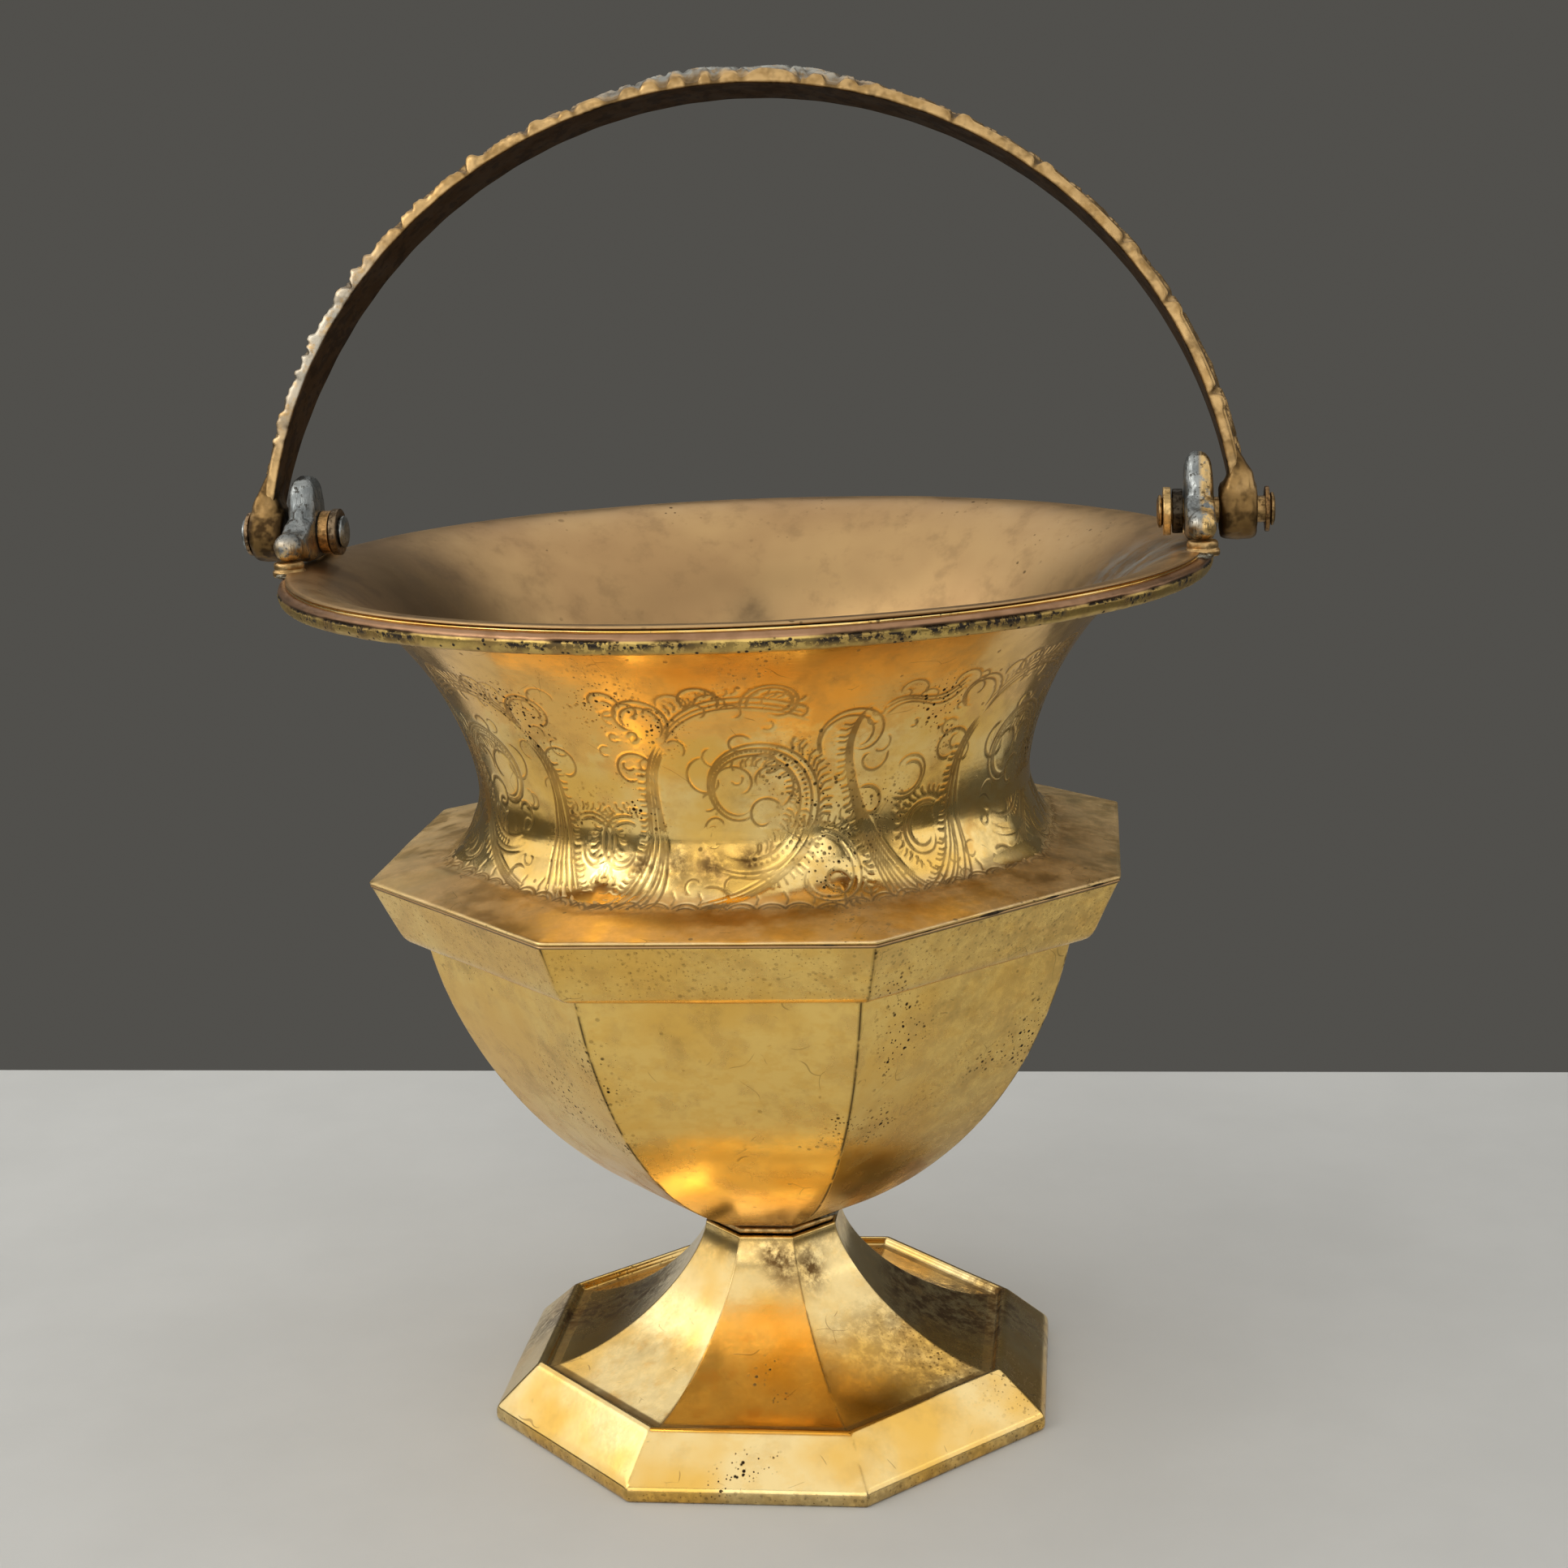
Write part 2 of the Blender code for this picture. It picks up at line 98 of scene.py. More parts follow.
# Deck, neck and mouth
SHOULDER_RADIUS = 86.2 * MM
SHOULDER_HEIGHT = 128.5 * MM
DECK_RADIUS = 73.0 * MM
DECK_HEIGHT = 131.0 * MM
WAIST_RADIUS = 60.6 * MM
WAIST_HEIGHT = 145.0 * MM
MOUTH_SWEEP = 1.6
NECK_COLUMNS = 1200
NECK_ROW = 0.3 * MM
BACK_ROWS = 14
MOTIFS = 6
MOTIF_TURNS = (1, 1, 1, -1, 1, 1)
MOTIF_SHIFT = 15.0 * MM
MOTIF_STRETCH = 1.12
LINE_WIDTH = 0.29 * MM
LINE_DEPTH = 0.17 * MM
STROKE_ENDS = 0.12
ENGRAVED_BEAD = 0.36 * MM
FILLERS = 34

# The rim's wire, and the line along it at an angle round the wire, in radians
BEAD_COLUMNS = 900
BEAD_ROWS = 40
SEAM_TURN = 0.22
SEAM_REACH = 0.16
SEAM_DEPTH = 0.28 * MM

# Bail
BAIL_LEAN = radians(12)
ARCH_HALF_SPAN = 104.8 * MM
ARCH_RISE = 103.4 * MM
ARCH_CENTRE = -10.8 * MM
ARCH_END = acos(-ARCH_CENTRE / ARCH_RISE)
STRAP_WIDTH = 14.0 * MM
STRAP_NECK = 8.6 * MM
STRAP_EDGE = 2.3 * MM
STRAP_CROWN = 3.3 * MM
CREST_CROWN = 4.6 * MM
CREST_TURN = radians(13)
NECK_TURN = radians(24)
EYE_X = 105.1 * MM
RIVET_RADIUS = 2.8 * MM
STRAP_STATIONS = 1000
STRAP_COLUMNS = 46
SCALLOPS = 31

# Camera: place, aim and lens
CAMERA_DISTANCE = 549.4 * MM
CAMERA_HEIGHT = 267.3 * MM
CAMERA_AZIMUTH = radians(7.82)
CAMERA_YAW = radians(-0.66)
CAMERA_PITCH = radians(12.94)
CAMERA_ROLL = radians(-2.32)
CAMERA_LENS = 58.54
SENSOR_WIDTH = 36

# Stage: the floor's edges, the world, and soft lights aimed at one place. Each light has a
# name, a place, a width and height in metres, a power in watts and a colour.
FLOOR_LEFT, FLOOR_RIGHT = -0.45, 0.30
FLOOR_FRONT, FLOOR_BACK = -1.40, 0.21
WORLD_COLOUR = (0.275, 0.265, 0.24, 1)
WORLD_STRENGTH = 0.30
LIGHT_AIM = (0, 0, 0.12)
LIGHTS = (
    ("window", (-1.0, -0.9, 0.85), (0.8, 0.8), 5, (1.0, 0.97, 0.92)),
    ("overhead", (-0.05, -0.1, 1.7), (5.3, 4.2), 62, (1.0, 0.985, 0.96)),
    ("left", (-1.9, -0.25, 1.0), (2.2, 1.5), 10, (1.0, 0.985, 0.96)),
    ("right", (1.9, 0.05, 0.68), (2.2, 1.0), 6.5, (1.0, 0.985, 0.96)),
    ("front", (0.1, -1.7, 0.52), (2.2, 0.95), 9, (1.0, 0.99, 0.97)),
)


# Smooth noise


def lattice_value(cells, seed):
    """A fixed random number from 0 to 1 for each cell of a lattice."""
    mixed = cells[..., 0] * 374761393 + cells[..., 1] * 668265263 + cells[..., 2] * 1442695041
    mixed = (mixed + seed * 1274126177) & 0x7FFFFFFF
    mixed = ((mixed ^ (mixed >> 13)) * 1103515245) & 0x7FFFFFFF
    mixed = ((mixed ^ (mixed >> 16)) * 69069) & 0x7FFFFFFF
    return ((mixed >> 9) & 0xFFFF) / 0xFFFF


def value_noise(points, size, seed):
    """Smooth noise from -1 to 1 with features of the given size."""
    scaled = points / size + 1000.0
    base = np.floor(scaled).astype(np.int64)
    part = scaled - base
    part = part * part * (3 - 2 * part)
    total = np.zeros(points.shape[:-1])
    for corner in range(8):
        step = np.array([(corner >> axis) & 1 for axis in range(3)])
        weight = np.prod(np.where(step == 1, part, 1 - part), axis=-1)
        total += weight * lattice_value(base + step, seed)
    return 2 * total - 1


def layered_noise(points, size, seed, layers=3):
    total = np.zeros(points.shape[:-1])
    for layer in range(layers):
        total += value_noise(points, size / 2**layer, seed + layer) / 2**layer
    return total


def smooth_step(value, low=0.0, high=1.0):
    """Rises from 0 at low to 1 at high, or falls where high is the lower one."""
    part = np.clip((value - low) / (high - low), 0, 1)
    return part * part * (3 - 2 * part)


def hump(value, middle, reach, power=2):
    """1 at the middle, falling to about a third at the reach on both sides."""
    return np.exp(-(((value - middle) / reach) ** power))


def near_angle(angles, middle, reach):
    """1 about an angle round the ring, falling to 0 at the reach. Both are in degrees."""
    off = np.abs((np.degrees(angles) - middle + 180) % 360 - 180)
    return smooth_step(reach - off, 0, reach * 0.6)


def painted_shade_right(angles):
    """Painted shade: 1 on the right, which gets less light, and 0 at the front, the left and the
    back.
    """
    return near_angle(angles, -8, 62)


# Outlines and rings


def sweep_curve(outer, inner, low, high, exponent, steps):
    """A concave flare between a narrow level and a wide one: a quarter of a superellipse."""
    turn = np.linspace(0, pi / 2, steps + 1)
    across = (outer - inner) * np.clip(np.cos(turn), 0, 1) ** (2 / exponent)
    along = (high - low) * np.sin(turn) ** (2 / exponent)
    return [(outer - x, low + z) for x, z in zip(across, along)]


def round_corners(outline, cut):
    """Cuts each corner of an open outline, by the given length at most."""
    outline = np.array(outline, float)
    points = [outline[0]]
    for before, corner, after in zip(outline, outline[1:], outline[2:]):
        for other in (before, after):
            reach = np.linalg.norm((other - corner)[:2])
            points.append(corner + (other - corner) * min(0.35, cut / max(reach, 1e-9)))
    points.append(outline[-1])
    return np.array(points)


def even_points(outline, spacing):
    """Points at an even spacing along an open outline."""
    outline = np.array(outline, float)
    steps = np.linalg.norm(np.diff(outline[:, :2], axis=0), axis=1)
    reach = np.concatenate([[0], np.cumsum(steps)])
    count = max(2, int(round(reach[-1] / spacing)) + 1)
    places = np.linspace(0, reach[-1], count)
    return np.stack([np.interp(places, reach, column) for column in outline.T], axis=1)


def inner_offset(outline, wall):
    """Moves an outline inwards by the wall, square to its slope at each point."""
    along = np.gradient(outline[:, :2], axis=0)
    along /= np.linalg.norm(along, axis=1, keepdims=True)
    moved = outline.copy()
    moved[:, 0] -= wall * along[:, 1]
    moved[:, 1] += wall * along[:, 0]
    return moved


def octagon_angles(steps):
    """Angles round an octagon, closer together towards its ridges."""
    turn = np.linspace(-pi / 2, pi / 2, steps, endpoint=False)
    within = np.arctan(np.sin(turn) * tan(CORNER))
    return np.concatenate([within + 2 * CORNER * side for side in range(SIDES)])


def octagon_reach(angles, sharpness):
    """Reach of an octagon of corner radius 1. A lower sharpness rounds its ridges more."""
    faces = np.arange(SIDES) * 2 * CORNER
    facing = np.maximum(np.cos(angles[:, None] - faces), 0)
    return cos(CORNER) / np.sum(facing**sharpness, axis=1) ** (1 / sharpness)


def ring_grid(outline, angles, sharpness=400):
    """Rings of points from (radius, height, roundness) rows: 0 is an octagon and 1 a circle."""
    outline = np.array(outline, float)
    if outline.shape[1] == 2:
        outline = np.column_stack([outline, np.zeros(len(outline))])
    octagon = octagon_reach(angles, sharpness)
    radius = outline[:, :1] * (octagon * (1 - outline[:, 2:]) + outline[:, 2:])
    height = np.broadcast_to(outline[:, 1:2], radius.shape)
    return np.stack([radius * np.cos(angles), radius * np.sin(angles), height], axis=-1)


def grid_normals(points, closed_rows=False):
    around = np.roll(points, -1, axis=1) - np.roll(points, 1, axis=1)
    if closed_rows:
        along = np.roll(points, -1, axis=0) - np.roll(points, 1, axis=0)
    else:
        along = np.gradient(points, axis=0)
    normal = np.cross(around, along)
    return normal / np.maximum(np.linalg.norm(normal, axis=-1, keepdims=True), 1e-12)


# Meshes


def add_object(name, data):
    thing = bpy.data.objects.new(name, data)
    bpy.context.scene.collection.objects.link(thing)
    return thing


def finish_piece(name, mesh, material):
    mesh.materials.clear()
    mesh.materials.append(material)
    return add_object(name, mesh)


def mesh_piece(name, points, material, fields=None, closed=False, caps=False):
    """One object from a grid of points whose columns close into rings.

    Closed makes its rows close too, and caps fills its first and last rings. The fields become
    vertex attributes.
    """
    rows, columns = points.shape[:2]
    index = np.arange(rows * columns).reshape(rows, columns)
    lower, upper = (index, np.roll(index, -1, axis=0)) if closed else (index[:-1], index[1:])
    quads = np.stack([lower, np.roll(lower, -1, 1), np.roll(upper, -1, 1), upper], axis=-1)
    corners = quads.reshape(-1)
    sizes = np.full(len(corners) // 4, 4)
    if caps:
        corners = np.concatenate([corners, index[0][::-1], index[-1]])
        sizes = np.concatenate([sizes, np.full(2, columns)])
    mesh = bpy.data.meshes.new(name)
    mesh.vertices.add(rows * columns)
    mesh.vertices.foreach_set("co", points.astype(np.float32).reshape(-1))
    mesh.loops.add(len(corners))
    mesh.loops.foreach_set("vertex_index", corners.astype(np.int32))
    mesh.polygons.add(len(sizes))
    mesh.polygons.foreach_set("loop_start", (np.cumsum(sizes) - sizes).astype(np.int32))
    mesh.update(calc_edges=True)
    for field, value in (fields or {}).items():
        values = np.broadcast_to(value, (rows, columns)).astype(np.float32)
        layer = mesh.attributes.new(field, "FLOAT", "POINT")
        layer.data.foreach_set("value", values.reshape(-1))
    mesh.validate()
    mesh.shade_smooth()
    return finish_piece(name, mesh, material)


def stand_for(piece, body, slot, *nodes):
    """Ties a detailed piece to its body and hides its CAD nodes; the slot is not used."""
    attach(piece, body)
    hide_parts(*nodes)
    return piece


# Reliefs: height fields that strokes and dots are pressed into, in metres both ways


class Relief:
    """A height field of even cells. Its columns may wrap round."""

    def __init__(self, rows, columns, cell_high, cell_wide, wraps):
        self.height = np.zeros((rows, columns))
        self.cell_high = cell_high
        self.cell_wide = cell_wide
        self.wraps = wraps

    def dot(self, x, y, width, depth):
        rows, columns = self.height.shape
        reach_x = int(2.2 * width / self.cell_wide) + 1
        reach_y = int(2.2 * width / self.cell_high) + 1
        column = int(round(x / self.cell_wide))
        row = int(round(y / self.cell_high))
        across = np.arange(column - reach_x, column + reach_x + 1)
        upright = np.arange(max(row - reach_y, 0), min(row + reach_y + 1, rows))
        if not self.wraps:
            across = across[(across >= 0) & (across < columns)]
        if not len(across) or not len(upright):
            return
        off_x = across * self.cell_wide - x
        off_y = upright * self.cell_high - y
        stamp = depth * np.exp(-(off_x[None, :] ** 2 + off_y[:, None] ** 2) / width**2)
        place = np.ix_(upright, across % columns)
        self.height[place] = np.maximum(self.height[place], stamp)

    def stroke(self, path, width, depth):
        """Presses a line that thins out at both ends."""
        path = np.array(path, float)
        lengths = np.linalg.norm(np.diff(path, axis=0), axis=1)
        reach = np.concatenate([[0], np.cumsum(lengths)])
        count = max(3, int(reach[-1] / (0.7 * width)) + 1)
        for place in np.linspace(0, reach[-1], count):
            part = place / max(reach[-1], 1e-9)
            ends = min(1.0, min(part, 1 - part) / STROKE_ENDS + 0.4)
            x = np.interp(place, reach, path[:, 0])
            y = np.interp(place, reach, path[:, 1])
            self.dot(x, y, width * (0.6 + 0.4 * ends), depth * ends)


def curl(centre, radius, start, turn, tighten, steps=48):
    """Points along a curl that starts at a radius and tightens as it turns. Angles in degrees."""
    part = np.linspace(0, 1, steps)
    reach = radius * (1 - (1 - tighten) * part**1.6)
    angle = np.radians(start + turn * part)
    return np.stack([centre[0] + reach * np.cos(angle), centre[1] + reach * np.sin(angle)], 1)


def sweep(start, bend_a, bend_b, end, steps=30):
    """Points along a cubic curve with two handles."""
    part = np.linspace(0, 1, steps)[:, None]
    rest = 1 - part
    points = [np.array(point, float) for point in (start, bend_a, bend_b, end)]
    return (
        rest**3 * points[0]
        + 3 * rest**2 * part * points[1]
        + 3 * rest * part**2 * points[2]
        + part**3 * points[3]
    )


def side_strokes(path, spacing, length, lean, first=0.0, last=1.0):
    """Short curved strokes off one side of a path, like the barbs of a feather."""
    lengths = np.linalg.norm(np.diff(path, axis=0), axis=1)
    reach = np.concatenate([[0], np.cumsum(lengths)])
    strokes = []
    for place in np.arange(first * reach[-1], last * reach[-1], spacing):
        x = np.interp(place, reach, path[:, 0])
        y = np.interp(place, reach, path[:, 1])
        ahead_x = np.interp(place + 0.5, reach, path[:, 0]) - x
        ahead_y = np.interp(place + 0.5, reach, path[:, 1]) - y
        heading = atan2(ahead_y, ahead_x)
        near = heading + lean * 0.6
        far = heading + lean * 1.2
        middle = (x + length * 0.5 * cos(near), y + length * 0.5 * sin(near))
        tip = (middle[0] + length * 0.5 * cos(far), middle[1] + length * 0.5 * sin(far))
        strokes.append([(x, y), middle, tip])
    return strokes


def fan_of_lines(first, last, count):
    """Curves spread evenly from one set of curve points to another."""
    first, last = np.array(first, float), np.array(last, float)
    return [sweep(*(first + (last - first) * share)) for share in np.linspace(0, 1, count)]


# The leaf curls of one repeat: middle and radius in millimetres, start and turn in degrees
LEAF_CURLS = (
    ((-4, 27), 4.8, 200, -260),
    ((1, 21), 3.6, 30, 270),
    ((-8, 19), 3.2, 260, -230),
    ((2, 31), 3.0, 150, -240),
    ((12, 10), 8.2, 100, -310),
    ((12, 10), 7.1, 100, -280),
    ((14, 8), 3.0, 0, 250),
    ((18, 36), 7.4, 210, -300),
    ((18, 36), 6.3, 210, -260),
    ((22, 31), 3.2, 20, -250),
    ((-21, 41), 6.0, -40, 290),
    ((-21, 41), 4.9, -40, 250),
    ((-28, 15), 6.0, 60, 290),
    ((-28, 15), 4.9, 60, 250),
    ((-9, 5), 3.6, 120, -260),
    ((30, 27), 5.2, 240, 280),
    ((30, 27), 4.1, 240, 240),
    ((3, 45), 5.6, 190, -300),
    ((3, 45), 4.6, 190, -260),
    ((-10, 46), 4.0, -30, 280),
    ((-9, 29), 4.4, 100, 260),
    ((2, 27), 5.2, -60, 250),
    ((-3, 36), 2.4, 30, 240),
    ((22, 22), 3.4, 120, -260),
    ((-24, 30), 4.2, 20, 270),
)

# The long curves down to the deck and over the top: start, two handles and end
RIGHT_SWEEP = ((20, 43), (11, 31), (25, 15), (24, 1))
LEFT_SWEEP = ((-18, 36), (-26, 25), (-16, 13), (-33, 1))
MIDDLE_SWEEP = ((13, 22), (8, 14), (0, 8), (-12, 4))
TOP_SWEEP = ((-17, 36), (-12, 45), (-2, 47), (9, 41))
WAVED_SWEEP = ((23, 40), (28, 47), (33, 36), (38, 44))


def motif_strokes():
    """One repeat of the neck's scrollwork, in millimetres about its middle.

    Returns (path, strength) pairs and a list of bead places.
    """
    strokes = []

    def add(strength, *paths):
        strokes.extend((np.array(path, float), strength) for path in paths)

    def large_curl(radius, steps=48):
        return curl((-2, 25), radius, -118, 400, 0.22, steps)

    # The large curl: three lines, a beaded channel and barbs on both sides
    add(1.0, large_curl(15.0, 70))
    add(0.9, large_curl(13.9, 70))
    add(1.0, large_curl(11.7, 70))
    beads = large_curl(12.8, 76)[5:50]
    add(0.9, *side_strokes(large_curl(15.5), 1.35, 3.2, -1.2, 0.12, 0.55))
    add(0.8, *side_strokes(large_curl(11.0), 1.3, 2.4, 1.2, 0.1, 0.7))

    # Leaf curls inside and beside it, two of them barbed
    add(0.95, *(curl(*leaf, 0.36) for leaf in LEAF_CURLS))
    add(0.8, *side_strokes(curl((12, 10), 8.9, 130, -210, 0.8), 1.3, 2.4, 1.2))
    add(0.8, *side_strokes(curl((-28, 15), 6.6, 60, 200, 0.8), 1.2, 2.0, -1.2))

    # Lines that fan out from beside the large curl down to the deck
    add(1.0, *fan_of_lines(RIGHT_SWEEP, ((19, 40), (14, 30), (24, 15), (34, 2)), 7))
    add(1.0, *fan_of_lines(LEFT_SWEEP, ((-17, 34), (-24, 25), (-14, 13), (-21, 2)), 6))
    add(0.85, *side_strokes(sweep(*RIGHT_SWEEP), 1.25, 2.6, -1.3, 0.1, 0.75))
    add(0.85, *side_strokes(sweep(*LEFT_SWEEP), 1.25, 2.4, -1.3, 0.15, 0.9))
    add(0.9, *fan_of_lines(MIDDLE_SWEEP, ((13, 19), (9, 13), (0, 6), (-12, 1.5)), 5))

    # A barbed sweep over the top
    add(0.8, *fan_of_lines(TOP_SWEEP, ((-17, 38.4), (-12, 47.4), (-2, 49.4), (9, 43.4)), 3))
    top_edge = sweep(*(np.array(TOP_SWEEP) + (0, 3)))
    add(0.75, *side_strokes(top_edge, 1.5, 2.2, 1.2, 0.05, 0.95))

    # Waved lines and ragged leaf edges under the flare
    add(0.85, *fan_of_lines(WAVED_SWEEP, ((23, 42.6), (28, 47), (33, 38.6), (38, 46.6)), 3))
    for place in (-26, -14, -8, 3, 27):
        add(0.8, curl((place, 45), 3.2, -20, 210, 0.6, 16))
        add(0.8, curl((place + 4, 43), 2.2, 160, -230, 0.5, 16))

    # Scallops and rays along the deck
    for place in np.arange(-30, 32, 5.2):
        add(0.9, curl((place, 1.4), 2.6, 170, -165, 0.95, 14))
        add(0.7, curl((place, 1.2), 1.7, 170, -150, 0.95, 12))
        add(0.8, [(place + 2.6, 3.4), (place + 3.1, 5.2), (place + 2.3, 7.2)])
    return strokes, beads


def filler_strokes(chance, count):
    """Small curls and flicks between the larger scrolls."""
    strokes = []
    for index in range(count):
        place = (chance.uniform(-30, 30), chance.uniform(3, 47))
        reach = chance.uniform(1.1, 2.4)
        turn = chance.choice((-1, 1)) * chance.uniform(120, 300)
        strokes.append((curl(place, reach, chance.uniform(0, 360), turn, 0.5, 16), 0.75))
    return strokes


def engrave_neck(rows, row_height):
    """The engraving over the whole neck, as depth from 0 to 1."""
    length = 2 * pi * WAIST_RADIUS
    relief = Relief(rows, NECK_COLUMNS, row_height, length / NECK_COLUMNS, wraps=True)
    strokes, beads = motif_strokes()
    chance = np.random.default_rng(7)
    pitch = length / MOTIFS
    for repeat in range(MOTIFS):
        middle = np.array([(repeat + 0.5) * pitch - MOTIF_SHIFT, 0])
        sizes = np.array([MOTIF_TURNS[repeat], MOTIF_STRETCH]) * MM
        for path, strength in strokes + filler_strokes(chance, FILLERS):
            placed = (path + chance.normal(0, 0.2, 2)) * sizes + middle
            relief.stroke(placed, LINE_WIDTH, strength * chance.uniform(0.75, 1.0))
        for bead in beads:
            x, y = bead * sizes + middle
            relief.dot(x, y, ENGRAVED_BEAD, 0.9)
    return relief.height


# Materials


class Shader:
    """One material, with short calls for the nodes it needs.

    Patterns use object coordinates, and their sizes are in millimetres. Each material's own
    shift moves all its patterns.
    """

    def __init__(self, name, shift=0.0):
        self.material = bpy.data.materials.new(name)
        self.material.use_nodes = True
        self.nodes = self.material.node_tree.nodes
        self.links = self.material.node_tree.links
        self.surface = self.nodes["Principled BSDF"]
        self.place = self.nodes.new("ShaderNodeTexCoord").outputs["Object"]
        self.shift = shift

    def feed(self, socket, value):
        if isinstance(value, bpy.types.NodeSocket):
            self.links.new(value, socket)
        elif isinstance(value, tuple) and len(value) == 3 and socket.type == "RGBA":
            socket.default_value = (*value, 1)
        else:
            socket.default_value = value

    def node(self, kind, output=0, settings=(), **values):
        """A new node's output. The values are its inputs by name, with _ for a space."""
        node = self.nodes.new("ShaderNode" + kind)
        for name, setting in dict(settings).items():
            setattr(node, name, setting)
        for name, value in values.items():
            self.feed(node.inputs[name.replace("_", " ")], value)
        return node.outputs[output]

    def spot(self, stretch=(1, 1, 1), shift=0.0):
        """Object coordinates, stretched so that a pattern runs longer along some axes."""
        scale = tuple(1 / amount for amount in stretch)
        offset = (self.shift + shift,) * 3
        return self.node("Mapping", Vector=self.place, Scale=scale, Location=offset)

    def noise(self, size, detail=3.0, rough=0.55, stretch=(1, 1, 1), shift=0.0):
        place = self.spot(stretch, shift)
        scale = 1 / (size * MM)
        return self.node("TexNoise", Vector=place, Scale=scale, Detail=detail, Roughness=rough)

    def ramp(self, value, low, high, start=0.0, end=1.0):
        """Maps low to start and high to end, smoothly."""
        smooth = {"interpolation_type": "SMOOTHSTEP"}
        ends = {"From_Min": low, "From_Max": high, "To_Min": start, "To_Max": end}
        return self.node("MapRange", 0, smooth, Value=value, **ends)

    def maths(self, operation, first, second):
        node = self.nodes.new("ShaderNodeMath")
        node.operation = operation
        node.use_clamp = operation in ("ADD", "SUBTRACT")
        self.feed(node.inputs[0], first)
        self.feed(node.inputs[1], second)
        return node.outputs[0]

    def times(self, first, *others):
        for other in others:
            first = self.maths("MULTIPLY", first, other)
        return first

    def plus(self, first, *others):
        for other in others:
            first = self.maths("ADD", first, other)
        return first

    def mix(self, factor, first, second):
        node = self.nodes.new("ShaderNodeMix")
        node.data_type = "RGBA"
        factor_socket, first_colour, second_colour = (node.inputs[i] for i in (0, 6, 7))
        self.feed(factor_socket, factor)
        self.feed(first_colour, first)
        self.feed(second_colour, second)
        return node.outputs[2]

    def field(self, name):
        return self.node("Attribute", 2, {"attribute_name": name})

    def bump(self, height, distance, strength, after=None):
        """A normal from a height. It can start from another bump's normal."""
        normal = self.node("Bump", Strength=strength, Distance=distance, Height=height)
        if after is not None:
            self.links.new(after, normal.node.inputs["Normal"])
        return normal

    def finish(self, colour, roughness, metallic, normal=None):
        values = {"Base Color": colour, "Roughness": roughness, "Metallic": metallic}
        for name, value in values.items():
            self.feed(self.surface.inputs[name], value)
        if normal is not None:
            self.links.new(normal, self.surface.inputs["Normal"])
        return self.material


def pit_mask(shader, size, share, spread, shift=0.0):
    """Small round pits. Only a share of the cells have one, and only inside the spread mask."""
    cells = shader.node("TexVoronoi", Vector=shader.spot(shift=shift), Scale=1 / (size * MM))
    chance = shader.node("SeparateColor", Color=cells.node.outputs["Color"])
    hole = shader.ramp(cells, 0.34, 0.18)
    chosen = shader.ramp(chance, 1 - share, 1 - share + 0.02)
    return shader.times(hole, chosen, spread)


def scratch_mask(shader, size, width, share, shift=0.0):
    """Broken hairlines, from the edges of large warped cells."""
    warp = shader.noise(size * 0.8, 1.0, shift=shift).node.outputs["Color"]
    reach = size * MM * 0.9
    push = shader.node("VectorMath", 0, {"operation": "SCALE"}, Vector=warp, Scale=reach)
    place = shader.node("VectorMath", 0, {"operation": "ADD"}, Vector=shader.spot(shift=shift))
    shader.links.new(push, place.node.inputs[1])
    edges = {"feature": "DISTANCE_TO_EDGE"}
    edge = shader.node("TexVoronoi", 0, edges, Vector=place, Scale=1 / (size * MM))
    line = shader.ramp(edge, width / size, 0.3 * width / size)
    broken = shader.ramp(shader.noise(size * 0.7, 2.0, shift=shift + 0.3), 1 - share, 1.05 - share)
    return shader.times(line, broken)


DEEP_GOLD = (0.90, 0.55, 0.125)
AMBER_GOLD = (0.94, 0.56, 0.15)
DULL_GOLD = (0.64, 0.40, 0.125)
TAN = (0.93, 0.69, 0.35)
BROWN = (0.150, 0.083, 0.028)
LINE_BROWN = (0.125, 0.068, 0.021)
NEAR_BLACK = (0.020, 0.013, 0.008)


